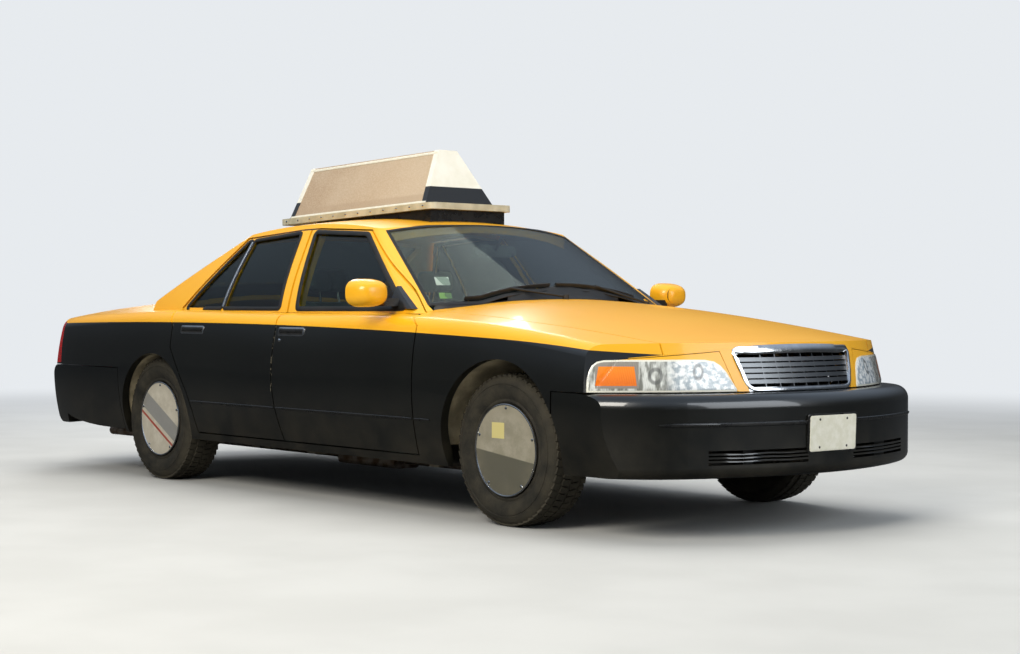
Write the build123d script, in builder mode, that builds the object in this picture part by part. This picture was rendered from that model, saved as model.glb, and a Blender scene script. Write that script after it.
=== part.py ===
from build123d import *
from functools import lru_cache
from math import cos, radians, sin
import os

os.makedirs("parts", exist_ok=True)

# Frame: X forward, Y to the car's left, Z up, ground at Z 0, mm.
# The right side is modelled first and mirrored to make the left side.

# Driving dimensions
body_length = 5385.0
body_width = 1986.0
wheelbase = 2913.0
front_overhang = 1090.5
front_track = 1610.0
rear_track = 1666.0
tyre_radius = 338.0
tyre_width = 228.0
roof_peak_z = 1443.0
sill_z = 245.0
widest_z = 600.0
bumper_top_z = 612.0
door_bottom_z = 286.0
glass_thickness = 5.0
door_gap = 8.0
lid_gap = 6.0
cowl_gap = 10.0
seat_gap = 0.3
skin = 40.0
roof_skin = 30.0
lid_skin = 28.0
pillar_depth = 45.0
frame_depth = 22.0

half_width = body_width / 2
front_end_x = body_length / 2
rear_end_x = -front_end_x
front_axle_x = front_end_x - front_overhang
rear_axle_x = front_axle_x - wheelbase
axle_z = tyre_radius
far = body_length

# Lower body sections, from the tail to the nose. Columns: x, then how far the
# sill, the widest line and the shoulder sit inside the half width, the
# shoulder's height, the crown's height on the centre line, the shoulder radius.
BODY_SECTIONS = [
    (rear_end_x, 130, 70, 110, 850, 945, 90),
    (rear_end_x + 250, 85, 25, 62, 880, 980, 80),
    (rear_axle_x - 400, 62, 3, 42, 915, 1026, 75),
    (rear_axle_x + 350, 58, 0, 38, 926, 1045, 70),
    (front_axle_x - 560, 58, 0, 40, 915, 1008, 70),
    (front_axle_x, 58, 0, 42, 880, 962, 75),
    (front_axle_x + 500, 62, 8, 52, 822, 893, 80),
    (front_end_x - 250, 80, 30, 70, 772, 832, 80),
    (front_end_x, 120, 75, 110, 720, 770, 80),
]

# Greenhouse plan outlines, from the belt up. Columns: z, windscreen centre x,
# windscreen corner x, half width, rear corner x, rear centre x.
belt_z = 949.0
cabin_front_x = front_axle_x - 402.0
cabin_rear_x = rear_axle_x - 520.0
GLASSHOUSE = [
    (925, cabin_front_x + 31, cabin_front_x - 317, 872, cabin_rear_x + 190, cabin_rear_x - 30),
    (1150, cabin_front_x - 362, cabin_front_x - 613, 765, cabin_rear_x + 595, cabin_rear_x + 432),
    (1345, cabin_front_x - 702, cabin_front_x - 870, 645, cabin_rear_x + 950, cabin_rear_x + 845),
    (1470, cabin_front_x - 920, cabin_front_x - 1035, 569, cabin_rear_x + 1178, cabin_rear_x + 1110),
]
side_bulge = 12.0
windscreen_slope = 2.0
backlight_slope = 2.3
side_slope = 1.14

# Roof crown sections. Columns: x, drop of the centre line below the peak.
ROOF_SECTIONS = [(1000, 196), (420, 53), (-208, 0), (-868, 43), (-1500, 165)]
roof_half_chord = 1000.0
roof_sagitta = 117.0


def write(part, label):
    """Name one finished piece and write it as its own file."""
    part.label = label
    export_step(part, f"parts/{label}.step")


def write_pair(part, label):
    """Write a right-hand piece and its mirror image."""
    write(part, f"{label}_r")
    with BuildPart() as left:
        mirror(part, about=Plane.XZ)
    write(left.part, f"{label}_l")


@lru_cache(maxsize=None)
def lower_body(inset):
    """Closed hull of the body below the windows, set in all round."""
    with BuildPart() as hull:
        for x, low, mid, edge, edge_z, crown_z, radius in BODY_SECTIONS:
            low_y = half_width - low - inset
            mid_y = half_width - mid - inset
            edge_y = half_width - edge - inset
            bottom = sill_z + inset
            top = edge_z - inset
            with BuildSketch(Plane.YZ.offset(x)) as section:
                with BuildLine():
                    Line((-low_y, bottom), (low_y, bottom))
                    ThreePointArc((low_y, bottom), (mid_y, widest_z), (edge_y, top))
                    ThreePointArc((edge_y, top), (0, crown_z - inset), (-edge_y, top))
                    ThreePointArc((-edge_y, top), (-mid_y, widest_z), (-low_y, bottom))
                make_face()
                fillet(section.vertices().sort_by(Axis.Y)[-2:], radius - inset / 2)
        loft()
    return hull.part


def end_outline(front_x, front_drop, rear_x, rear_drop, half, front_radius, rear_radius):
    """Plan outline with bowed ends and rounded corners."""
    front_corner = front_x - front_drop
    rear_corner = rear_x + rear_drop
    with BuildSketch() as outline:
        with BuildLine():
            ThreePointArc((front_corner, -half), (front_x, 0), (front_corner, half))
            Line((front_corner, half), (rear_corner, half))
            ThreePointArc((rear_corner, half), (rear_x, 0), (rear_corner, -half))
            Line((rear_corner, -half), (front_corner, -half))
        make_face()
        corners = outline.vertices().sort_by(Axis.X)
        fillet(corners[-2:], front_radius)
        fillet(corners[:2], rear_radius)
    return outline.sketch


nose_x = front_end_x - 131.0
tail_x = rear_end_x + 80.0
nose_drop = 385.0
tail_drop = 150.0
nose_lean = 0.30
tail_lean = 0.18
hull_top_z = 1100.0


def end_hull(inset):
    """Volume whose ends are the leaning nose and tail faces above the bumpers."""
    with BuildPart() as hull:
        for z in (0, hull_top_z):
            rise = z - bumper_top_z
            with BuildSketch(Plane.XY.offset(z)):
                add(end_outline(nose_x - nose_lean * rise - inset, nose_drop,
                                tail_x + tail_lean * rise + inset, tail_drop, half_width, 90, 90))
        loft(ruled=True)
    return hull.part


@lru_cache(maxsize=None)
def glasshouse(inset):
    """Closed volume of the cabin above the belt, set in all round."""
    with BuildPart() as house:
        for z, front_x, corner_x, width, rear_corner_x, rear_x in GLASSHOUSE:
            half = width - inset * side_slope
            front = inset * windscreen_slope
            rear = inset * backlight_slope
            middle_x = (corner_x + rear_corner_x) / 2
            with BuildSketch(Plane.XY.offset(z)):
                with BuildLine():
                    ThreePointArc((corner_x - front, -half), (front_x - front, 0),
                                  (corner_x - front, half))
                    ThreePointArc((corner_x - front, half), (middle_x, half + side_bulge),
                                  (rear_corner_x + rear, half))
                    ThreePointArc((rear_corner_x + rear, half), (rear_x + rear, 0),
                                  (rear_corner_x + rear, -half))
                    ThreePointArc((rear_corner_x + rear, -half), (middle_x, -half - side_bulge),
                                  (corner_x - front, -half))
                outline = make_face()
                fillet(outline.vertices(), 60 - inset / 2)
        loft()
    with BuildPart() as roof:
        for x, drop in ROOF_SECTIONS:
            crown = roof_peak_z - drop - inset
            with BuildSketch(Plane.YZ.offset(x)):
                with BuildLine():
                    ThreePointArc((-roof_half_chord, crown - roof_sagitta), (0, crown),
                                  (roof_half_chord, crown - roof_sagitta))
                    Polyline((roof_half_chord, crown - roof_sagitta), (roof_half_chord, 900),
                             (-roof_half_chord, 900), (-roof_half_chord, crown - roof_sagitta))
                make_face()
        loft()
        add(house.part, mode=Mode.INTERSECT)
    return roof.part


def block(x0, x1, y0, y1, z0, z1):
    """Box between two corners."""
    with BuildPart() as box:
        with Locations(((x0 + x1) / 2, (y0 + y1) / 2, (z0 + z1) / 2)):
            Box(abs(x1 - x0), abs(y1 - y0), abs(z1 - z0))
    return box.part


body_0 = lower_body(0)
house_0 = glasshouse(0)


def closed_hull(inset):
    """Lower body with its leaning nose and tail, set in all round."""
    with BuildPart() as hull:
        add(lower_body(inset))
        add(end_hull(inset), mode=Mode.INTERSECT)
    return hull.part


hull_0 = closed_hull(0)
hull_skin = closed_hull(skin)
hull_lid = closed_hull(lid_skin)

# Floor heights and frame rails
floor_z = 290.0
floor_sheet = 20.0
rear_floor_z = 500.0
boot_floor_z = 330.0
rail_y = 400.0
rail_width = 70.0
rail_height = 90.0
rail_z = floor_z - rail_height
front_rail_z = 300.0
rear_rail_z = rear_floor_z - rail_height
boot_rail_z = boot_floor_z - rail_height
rail_front_x = front_axle_x + 830.0
rail_rear_x = rear_end_x + 260.0
gearbox_x = front_axle_x - 800.0
gearbox_z = axle_z - 90.0
cross_height = 42.0

# Bumper covers: one bowed block with rounded ends, hollow behind
bumper_bottom_z = 262.0
bumper_half = 1035.0
bumper_skin = 30.0


def bumper_hull(inset):
    """Block that holds both bumpers, set in all round."""
    with BuildPart() as hull:
        with BuildSketch(Plane.XY.offset(bumper_bottom_z + inset)):
            add(end_outline(front_end_x - inset, 351, rear_end_x + inset, 200,
                            bumper_half - inset, 540 - inset, 400 - inset))
        extrude(amount=bumper_top_z - bumper_bottom_z - 2 * inset)
        fillet(hull.faces().sort_by(Axis.Z)[-1].edges(), 60 - inset / 2)
        fillet(hull.faces().sort_by(Axis.Z)[0].edges(), 45 - inset / 2)
        add(lower_body(inset), mode=Mode.INTERSECT)
    return hull.part


front_bumper_depth = 170.0
rear_bumper_depth = 100.0

front_bumper_x = front_axle_x + 388.0
rear_bumper_x = rear_axle_x - 380.0
arch_gap = 5.0

# Wheel arches. Columns: axle x, how far ahead of the axle the arch stands, radius.
front_arch_x = front_axle_x + 24.0
front_arch_radius = 396.0
rear_arch_radius = 358.0
arch_rise = 6.0
lining_wall = 5.0
body_top = 1600.0


def arch(x, radius, inner_y, outer_y=-half_width - 200):
    """Cylinder across the car that opens a right-hand wheel arch."""
    with BuildPart() as opening:
        with BuildSketch(Plane.XZ.offset(-inner_y)):
            with Locations((x, axle_z + arch_rise)):
                Circle(radius)
        extrude(amount=inner_y - outer_y)
    return opening.part


# Side view shut lines of the right-hand doors, at the middle of each gap
fender_line_x = front_axle_x - 562.0
b_line_x = front_axle_x - 1721.0
c_line_x = rear_axle_x + 197.0
swing_gap = 9.0
rear_swing_gap = 14.0
door_inner_y = 838.0
post_inner_y = 765.0
B_LINE = [
    (b_line_x - 143, 1371), (b_line_x - 27, 960), (b_line_x, 863),
    (b_line_x, 583), (b_line_x + 19, 450), (b_line_x + 63, door_bottom_z - 2),
]


def front_door_outline(pull):
    """Front door in side view; pull moves the window frame's rear edge forward."""
    return [
        (fender_line_x, door_bottom_z - 2), (fender_line_x, 880),
        (fender_line_x - 135, 962), (fender_line_x - 772, 1352), (b_line_x - 66, 1372),
        (B_LINE[0][0] + pull, B_LINE[0][1]), (B_LINE[1][0] + pull, B_LINE[1][1]), *B_LINE[2:],
    ]


def rear_door_outline(pull):
    """Rear door in side view; pull moves the window frame's rear edge forward."""
    return [
        *B_LINE, (c_line_x + 233, door_bottom_z - 2), (c_line_x + 208, 400), (c_line_x + 168, 500),
        (c_line_x + 73, 640), (c_line_x, 740), (c_line_x, 850), (c_line_x - 67 + pull, 955),
        (c_line_x + 268 + pull, 1336), (b_line_x - 201, 1370),
    ]


front_window = [
    (fender_line_x - 225, 962), (fender_line_x - 790, 1330),
    (b_line_x - 85, 1352), (b_line_x + 61, 957),
]
rear_window = [
    (b_line_x - 101, 957), (b_line_x - 220, 1350), (c_line_x + 353, 1320), (c_line_x + 365, 957),
]
quarter_window = [
    (c_line_x + 341, 957), (c_line_x + 329, 1318), (c_line_x + 299, 1316), (c_line_x - 14, 957),
]


def outline_prism(points, grow=0.0):
    """Side view outline grown by a clearance and run out past the right side."""
    with BuildPart() as prism:
        with BuildSketch(Plane.XZ):
            with BuildLine():
                Polyline(*points, close=True)
            make_face()
            if grow:
                offset(amount=grow, kind=Kind.INTERSECTION)
        extrude(amount=far)
    return prism.part


# Door hinges: a fixed leaf with an upright pin, and a pocket for it in the door
hinge_setback = 104.0
door_hinge_y = -970.0
hinge_heights = (480.0, 720.0)
hinge_pin_radius = 4.0
hinge_pin_reach = 16.0
leaf_half = 7.0
leaf_height = 24.0
leaf_gap = 2.0
leaf_root_y = -790.0


def hinge_leaves(axis_x, root_x):
    """Fixed leaves of a right-hand door, from the post to the pins."""
    with BuildPart() as leaves:
        for z in hinge_heights:
            with BuildSketch(Plane.XY.offset(z - leaf_height / 2)):
                with BuildLine():
                    Polyline((root_x, leaf_root_y - 10), (axis_x + leaf_half, leaf_root_y - 10),
                             (axis_x + leaf_half, door_hinge_y))
                    RadiusArc((axis_x + leaf_half, door_hinge_y), (axis_x - leaf_half, door_hinge_y), leaf_half)
                    Polyline((axis_x - leaf_half, door_hinge_y), (axis_x - leaf_half, leaf_root_y + 10),
                             (root_x, leaf_root_y + 10), (root_x, leaf_root_y - 10))
                make_face()
            extrude(amount=leaf_height)
            with Locations((axis_x, door_hinge_y, z)):
                Cylinder(hinge_pin_radius, leaf_height + 2 * hinge_pin_reach)
    return leaves.part


def hinge_pockets(axis_x):
    """Room in a right-hand door for the leaves, swept through the door's swing, and the pin bores."""
    near = leaf_half + leaf_gap
    with BuildPart() as pockets:
        for z in hinge_heights:
            with BuildSketch(Plane.XY.offset(z - leaf_height / 2 - seat_gap)):
                with BuildLine():
                    Polyline((axis_x - near, door_hinge_y + 150), (axis_x - near, door_hinge_y - near),
                             (axis_x + near, door_hinge_y - near),
                             (axis_x + hinge_setback + 10, door_hinge_y + 33),
                             (axis_x + hinge_setback + 10, door_hinge_y + 150), close=True)
                make_face()
            extrude(amount=leaf_height + 2 * seat_gap)
            with Locations((axis_x, door_hinge_y, z)):
                Cylinder(hinge_pin_radius + seat_gap, leaf_height + 2 * hinge_pin_reach + 2)
    return pockets.part


front_hinge_x = fender_line_x - hinge_setback
rear_hinge_x = b_line_x - hinge_setback
front_opening = outline_prism(front_door_outline(0), door_gap / 2)
rear_opening = outline_prism(rear_door_outline(0), door_gap / 2)

# Plan view outlines of the screens and lids
cowl_x = cabin_front_x - 95.0
hood_rear_x = cabin_front_x - 25.0
roof_front_x = cabin_front_x - 796.0
roof_rear_x = cabin_rear_x + 940.0
backlight_base_x = cabin_rear_x + 215.0
lid_front_x = cabin_rear_x + 165.0


def plan_prism(front, side, rear):
    """Vertical prism from plan arcs: front and rear are (centre x, corner x, half width)."""
    with BuildPart() as prism:
        with BuildSketch(Plane.XY.offset(600)):
            with BuildLine():
                ThreePointArc((front[1], front[2]), (front[0], 0), (front[1], -front[2]))
                Polyline((front[1], -front[2]), *[(x, -y) for x, y in side], (rear[1], -rear[2]))
                ThreePointArc((rear[1], -rear[2]), (rear[0], 0), (rear[1], rear[2]))
                Polyline((rear[1], rear[2]), *[(x, y) for x, y in reversed(side)], (front[1], front[2]))
            make_face()
        extrude(amount=1000)
    return prism.part


screen_top_half = 612.0
screen_base_half = 772.0
roof_half = 565.0
lid_half = 715.0
hood_half = 795.0
hood_front_half = 640.0
lid_face_half = 560.0
lid_bottom_z = 625.0
lamp_top_z = 868.0

windscreen_prism = plan_prism((cowl_x, cowl_x - 225, screen_base_half), [],
                              (roof_front_x + seat_gap, roof_front_x - 66 + seat_gap, screen_top_half))
windscreen_zone = plan_prism((cowl_x + 200, cowl_x + 190, hood_half), [(cowl_x - 225, screen_base_half)],
                             (roof_front_x, roof_front_x - 66, screen_top_half))
backlight_prism = plan_prism((roof_rear_x - 5 - seat_gap, roof_rear_x + 15 - seat_gap, 575), [],
                             (backlight_base_x, backlight_base_x + 85, 690))
roof_prism = plan_prism((roof_front_x, roof_front_x - 66, roof_half), [],
                        (roof_rear_x - 5, roof_rear_x + 15, roof_half))


def pillar_zone(grow):
    """Plan region inside the shut line between the windscreen pillar and the front door."""
    return plan_prism((fender_line_x + 240, fender_line_x + 230, 825 + grow),
                      [(fender_line_x - 135, 800 + grow)],
                      (roof_front_x - 60, roof_front_x - 70, 604 + grow))


def hood_prism(grow):
    """Plan of the hood from the cowl past the nose."""
    return plan_prism((front_end_x + 10, front_end_x, hood_front_half - 40 + grow),
                      [(front_axle_x + 650, hood_front_half + 60 + grow),
                       (front_axle_x, hood_half - 8 + grow)],
                      (hood_rear_x - grow, hood_rear_x - 190 - grow, hood_half + grow))


def lid_prism(grow):
    """Plan of the boot lid from the backlight past the tail."""
    return plan_prism((lid_front_x + grow, lid_front_x + 75 + grow, lid_half + grow), [],
                      (rear_end_x - 60, rear_end_x - 50, lid_half - 15 + grow))


def front_view(points, x0, x1):
    """Prism along the car between two stations from a front view outline of (y, z)."""
    with BuildPart() as prism:
        with BuildSketch(Plane.YZ.offset(x0)):
            with BuildLine():
                Polyline(*points, close=True)
            make_face()
        extrude(amount=x1 - x0)
    return prism.part


# Lamps and grille in the nose, by front view
lamp_inner_y = 398.0
lamp_base_z = bumper_top_z + 6.0
lamp_inner_top_z = 783.0
lamp_outer_top_z = 742.0
lamp_rear_x = front_axle_x + 590.0
lamp_gap = 3.0
grille_top_half = 380.0
grille_base_half = 338.0
grille_base_z = bumper_top_z + 4.0
grille_top_z = 788.0
nose_rear_x = front_end_x - 420.0
radiator_x = nose_rear_x - 60.0


def lamp_block(grow):
    """Region of the right headlamp, grown by a clearance."""
    base_z = lamp_base_z - grow
    with BuildPart() as region:
        add(front_view([(-lamp_inner_y + grow, base_z), (-lamp_inner_y - 45 + grow, lamp_inner_top_z + grow),
                        (-half_width - 60, lamp_outer_top_z - 8 + grow), (-half_width - 60, base_z)],
                       lamp_rear_x - 100, front_end_x))
        add(outline_prism([(lamp_rear_x - grow, base_z - 50), (front_end_x, base_z - 50),
                           (front_end_x, 900), (lamp_rear_x + 100 - grow, 900)]),
            mode=Mode.INTERSECT)
    return region.part


def grille_outline(shrink):
    """Front view of the grille opening, drawn in by a border."""
    return [(-grille_base_half + shrink, grille_base_z + shrink),
            (grille_base_half - shrink, grille_base_z + shrink),
            (grille_top_half - shrink, grille_top_z - shrink),
            (-grille_top_half + shrink, grille_top_z - shrink)]


def nose_region(grow):
    """Nose between the bumper and the hood's front edge, grown by a clearance."""
    shoulder_z = lamp_outer_top_z + grow
    lamp_z = lamp_inner_top_z + 8 + grow
    return front_view([(-half_width, grille_base_z), (half_width, grille_base_z), (half_width, shoulder_z),
                       (lamp_inner_y + 60, lamp_z), (0, grille_top_z + 8 + grow),
                       (-lamp_inner_y - 60, lamp_z), (-half_width, shoulder_z)],
                      nose_rear_x - grow, front_end_x)


nose_zone = nose_region(0)

# Hood
with BuildPart() as hood:
    add(hull_0)
    add(hull_lid, mode=Mode.SUBTRACT)
    add(hood_prism(0), mode=Mode.INTERSECT)
    add(block(cabin_front_x - 400, front_end_x, -half_width, half_width, 700, body_top),
        mode=Mode.INTERSECT)
    add(nose_region(seat_gap), mode=Mode.SUBTRACT)
write(hood.part, "hood")

# Boot lid: top skin and the tail face between the lamps
with BuildPart() as lid_zone:
    add(lid_prism(0))
    add(block(rear_end_x, cabin_rear_x + 400, -half_width, half_width, lamp_top_z + lid_gap, body_top),
        mode=Mode.INTERSECT)
    add(block(rear_end_x, rear_end_x + 300, -lid_face_half, lid_face_half, lid_bottom_z, lamp_top_z + 20))
with BuildPart() as trunk_lid:
    add(hull_0)
    add(hull_lid, mode=Mode.SUBTRACT)
    add(lid_zone.part, mode=Mode.INTERSECT)
write(trunk_lid.part, "trunk_lid")

# Fenders and quarter panels keep only the outer band of the hull
fender_zone = front_view([(-half_width - 60, sill_z), (-905, sill_z), (-905, 640), (-520, 700),
                          (-520, 1100), (-half_width - 60, 1100)], rear_end_x - 10, front_end_x)
fender_strip_y = door_inner_y - 24
with BuildPart() as fender_cut:
    add(front_opening)
    add(block(rear_end_x, front_end_x, -fender_strip_y, -far, 0, body_top), mode=Mode.INTERSECT)
with BuildPart() as fender:
    add(hull_0)
    add(hull_skin, mode=Mode.SUBTRACT)
    add(fender_zone, mode=Mode.INTERSECT)
    add(block(fender_line_x - 200, front_end_x, 0, -half_width - 60, sill_z, 1100), mode=Mode.INTERSECT)
    add(fender_cut.part, mode=Mode.SUBTRACT)
    add(block(fender_line_x - 210, hood_rear_x, 0, -post_inner_y, 700, 1100), mode=Mode.SUBTRACT)
    add(glasshouse(-8), mode=Mode.SUBTRACT)
    add(hood_prism(lid_gap), mode=Mode.SUBTRACT)
    add(windscreen_prism, mode=Mode.SUBTRACT)
    add(arch(front_arch_x, front_arch_radius, -500), mode=Mode.SUBTRACT)
    add(block(front_bumper_x - 8, front_end_x, 0, -far, 0, bumper_top_z + 3), mode=Mode.SUBTRACT)
    add(nose_zone, mode=Mode.SUBTRACT)
    add(lamp_block(lamp_gap), mode=Mode.SUBTRACT)
write_pair(fender.part, "fender")

# Header panel: the painted surround of the grille and lamps
with BuildPart() as header:
    add(hull_0)
    add(hull_skin, mode=Mode.SUBTRACT)
    add(nose_zone, mode=Mode.INTERSECT)
    add(front_view(grille_outline(0), nose_rear_x, front_end_x), mode=Mode.SUBTRACT)
    add(lamp_block(lamp_gap), mode=Mode.SUBTRACT)
    mirror(lamp_block(lamp_gap), about=Plane.XZ, mode=Mode.SUBTRACT)
write(header.part, "header_panel")

# Headlamps
with BuildPart() as lamp:
    add(hull_0)
    add(hull_skin, mode=Mode.SUBTRACT)
    add(lamp_block(0), mode=Mode.INTERSECT)
    add(block(radiator_x + 30, lamp_rear_x + 198, -560, -520, 695, 730))
with BuildPart() as headlamps:
    add(lamp.part)
    mirror(lamp.part, about=Plane.XZ)
write(headlamps.part, "headlamps")

# Grille: border, slats and uprights
slats = 5
uprights = 7
border = 16.0
slat_height = 17.0
with BuildPart() as grille:
    add(front_view(grille_outline(0), nose_rear_x, front_end_x))
    add(front_view(grille_outline(border), nose_rear_x, front_end_x), mode=Mode.SUBTRACT)
    pitch = (grille_top_z - grille_base_z - 2 * border) / (slats + 1)
    for index in range(slats):
        slat_z = grille_base_z + border + pitch * (index + 1)
        half = grille_base_half + (grille_top_half - grille_base_half) * (index + 1) / (slats + 1)
        add(block(nose_rear_x, front_end_x, -half + border, half - border,
                  slat_z - slat_height / 2, slat_z + slat_height / 2))
    upright_pitch = 2 * (grille_base_half - border) / (uprights + 1)
    for index in range(uprights):
        upright_y = -grille_base_half + border + upright_pitch * (index + 1)
        add(block(nose_rear_x, front_end_x, upright_y - 2, upright_y + 2,
                  grille_base_z + 2, grille_top_z - 2))
    add(end_hull(4), mode=Mode.INTERSECT)
    add(end_hull(skin), mode=Mode.SUBTRACT)
write(grille.part, "grille")

# Bumpers
with BuildPart() as bumper_core:
    with BuildSketch(Plane.XY):
        add(end_outline(front_end_x - front_bumper_depth, 351, rear_end_x + rear_bumper_depth, 200,
                        bumper_half - rear_bumper_depth, 400, 300))
    extrude(amount=bumper_top_z + 100)
with BuildPart() as bumpers:
    add(bumper_hull(0))
    add(bumper_hull(bumper_skin), mode=Mode.SUBTRACT)
    add(bumper_core.part, mode=Mode.SUBTRACT)
intake_z = 350.0
intake_height = 60.0
intake_inner_y = 150.0
intake_outer_y = 640.0
fins = 3
with BuildPart() as bumper_front:
    add(bumpers.part)
    add(block(front_bumper_x, front_end_x + 10, -far, far, 0, far), mode=Mode.INTERSECT)
    for side in (-1, 1):
        add(block(front_end_x - 300, front_end_x + 10, side * intake_inner_y, side * intake_outer_y,
                  intake_z - intake_height / 2, intake_z + intake_height / 2), mode=Mode.SUBTRACT)
        add(block(rail_front_x, front_end_x - 90, side * rail_y, side * (rail_y + rail_width),
                  front_rail_z, front_rail_z + rail_height))
    for fin in range(fins):
        fin_z = intake_z + intake_height * ((fin + 1) / (fins + 1) - 0.5)
        add(block(front_end_x - 250, front_end_x, -intake_outer_y, intake_outer_y, fin_z - 4, fin_z + 4))
    add(bumper_hull(0), mode=Mode.INTERSECT)
    add(arch(front_arch_x, front_arch_radius + 4, -500), mode=Mode.SUBTRACT)
    mirror(arch(front_arch_x, front_arch_radius + 4, -500), about=Plane.XZ, mode=Mode.SUBTRACT)
write(bumper_front.part, "bumper_front")

with BuildPart() as bumper_rear:
    add(bumpers.part)
    add(block(rear_end_x - 10, rear_bumper_x, -far, far, 0, far), mode=Mode.INTERSECT)
    for side in (-1, 1):
        add(block(rear_end_x + 60, rail_rear_x, side * rail_y, side * (rail_y + rail_width),
                  bumper_bottom_z + 5, boot_rail_z + rail_height))
write(bumper_rear.part, "bumper_rear")

# Quarter panels with the rear roof pillars
pillar_split_x = c_line_x + 262.0
quarter_front_x = c_line_x + 300.0
with BuildPart() as tail_lamp_zone:
    add(block(rear_end_x, rear_end_x + 285, -far, -lid_face_half - lid_gap, lid_bottom_z, lamp_top_z))
house_pillar = glasshouse(pillar_depth)
with BuildPart() as pillar_c:
    add(house_0)
    add(house_pillar, mode=Mode.SUBTRACT)
    add(block(cabin_rear_x - 100, pillar_split_x, 0, -far, 900, body_top), mode=Mode.INTERSECT)
    add(backlight_prism, mode=Mode.SUBTRACT)
    add(roof_prism, mode=Mode.SUBTRACT)
gutter_width = 28.0
with BuildPart() as gutter:
    add(lower_body(lid_skin + seat_gap))
    add(lower_body(skin), mode=Mode.SUBTRACT)
    add(block(lid_front_x - 700, lid_front_x - 60, gutter_width - lid_half, -lid_half - 12, 700, 1100),
        mode=Mode.INTERSECT)
with BuildPart() as quarter:
    add(hull_0)
    add(hull_skin, mode=Mode.SUBTRACT)
    add(fender_zone, mode=Mode.INTERSECT)
    add(block(rear_end_x, quarter_front_x, 0, -far, sill_z, 1100), mode=Mode.INTERSECT)
    add(house_0, mode=Mode.SUBTRACT)
    add(lid_prism(lid_gap), mode=Mode.SUBTRACT)
    add(arch(rear_axle_x, rear_arch_radius, -500), mode=Mode.SUBTRACT)
    add(block(rear_end_x, rear_bumper_x + 4, 0, -far, 0, bumper_top_z + 3), mode=Mode.SUBTRACT)
    add(tail_lamp_zone.part, mode=Mode.SUBTRACT)
    add(block(rear_end_x, rear_end_x + 300, 0, -lid_face_half - lid_gap, 0, lamp_top_z + 5),
        mode=Mode.SUBTRACT)
    add(pillar_c.part)
    add(gutter.part)
    add(rear_opening, mode=Mode.SUBTRACT)
write_pair(quarter.part, "quarter_panel")

# Tail lamps
with BuildPart() as tail_lamp:
    add(hull_0)
    add(hull_skin, mode=Mode.SUBTRACT)
    add(tail_lamp_zone.part, mode=Mode.INTERSECT)
with BuildPart() as tail_lamps:
    add(tail_lamp.part)
    mirror(tail_lamp.part, about=Plane.XZ)
write(tail_lamps.part, "tail_lamps")

# Roof panel
with BuildPart() as roof:
    add(house_0)
    add(glasshouse(roof_skin), mode=Mode.SUBTRACT)
    add(roof_prism, mode=Mode.INTERSECT)
write(roof.part, "roof_panel")

# Screens
house_glass = glasshouse(3)
house_glass_inner = glasshouse(3 + glass_thickness)
for label, prism in (("windscreen", windscreen_prism), ("backlight", backlight_prism)):
    with BuildPart() as screen:
        add(house_glass)
        add(house_glass_inner, mode=Mode.SUBTRACT)
        add(prism, mode=Mode.INTERSECT)
        add(body_0, mode=Mode.SUBTRACT)
    write(screen.part, label)

# Side frames: windscreen pillar, roof rail, centre post, hinge post and sill
post_outer_y = 808.0
sill_outer_y = 790.0
sill_top_z = 330.0
door_plane_y = door_inner_y - 6
bridge_outer_y = hood_half - 5
bridge_z = 866.0
with BuildPart() as front_cut:
    add(front_opening)
    add(pillar_zone(0), mode=Mode.SUBTRACT)
with BuildPart() as centre_post:
    add(glasshouse(frame_depth + 11))
    add(glasshouse(pillar_depth + 15), mode=Mode.SUBTRACT)
    add(outline_prism([(b_line_x - 20, 925), (b_line_x + 40, 925), (b_line_x - 90, 1400),
                       (b_line_x - 200, 1400)]), mode=Mode.INTERSECT)
    add(block(rear_axle_x, front_axle_x, -door_plane_y, -far, 0, 1000), mode=Mode.SUBTRACT)
    add(block(b_line_x - 50, b_line_x + 40, -post_outer_y, -post_inner_y, sill_z + 20, 960))
with BuildPart() as pillar_base:
    add(block(fender_line_x - 140, fender_line_x - 70, -bridge_outer_y, -post_inner_y, bridge_z - 46, 950))
    add(block(fender_line_x - 140, fender_line_x + 90, -bridge_outer_y, -post_inner_y,
              bridge_z - 46, bridge_z))
    add(body_0, mode=Mode.INTERSECT)
with BuildPart() as sill:
    add(body_0)
    add(block(quarter_front_x, fender_line_x + 90, -post_inner_y, -far, 0, door_bottom_z - 5),
        mode=Mode.INTERSECT)
with BuildPart() as side_frame:
    add(house_0)
    add(house_pillar, mode=Mode.SUBTRACT)
    add(block(pillar_split_x, cabin_front_x + 100, 0, -far, 925, body_top), mode=Mode.INTERSECT)
    add(windscreen_zone, mode=Mode.SUBTRACT)
    add(backlight_prism, mode=Mode.SUBTRACT)
    add(roof_prism, mode=Mode.SUBTRACT)
    add(front_cut.part, mode=Mode.SUBTRACT)
    add(rear_opening, mode=Mode.SUBTRACT)
    add(centre_post.part)
    add(block(rear_axle_x + 400, fender_line_x + 90, -sill_outer_y, -post_inner_y, sill_z + 5, sill_top_z))
    add(block(fender_line_x + 12, fender_line_x + 90, -930, -post_inner_y, sill_z + 5, bridge_z))
    add(pillar_base.part)
    add(hinge_leaves(front_hinge_x, fender_line_x + 20))
    add(hinge_leaves(rear_hinge_x, b_line_x - 45))
    add(sill.part)
    add(fender.part, mode=Mode.SUBTRACT)
write_pair(side_frame.part, "side_frame")

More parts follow.
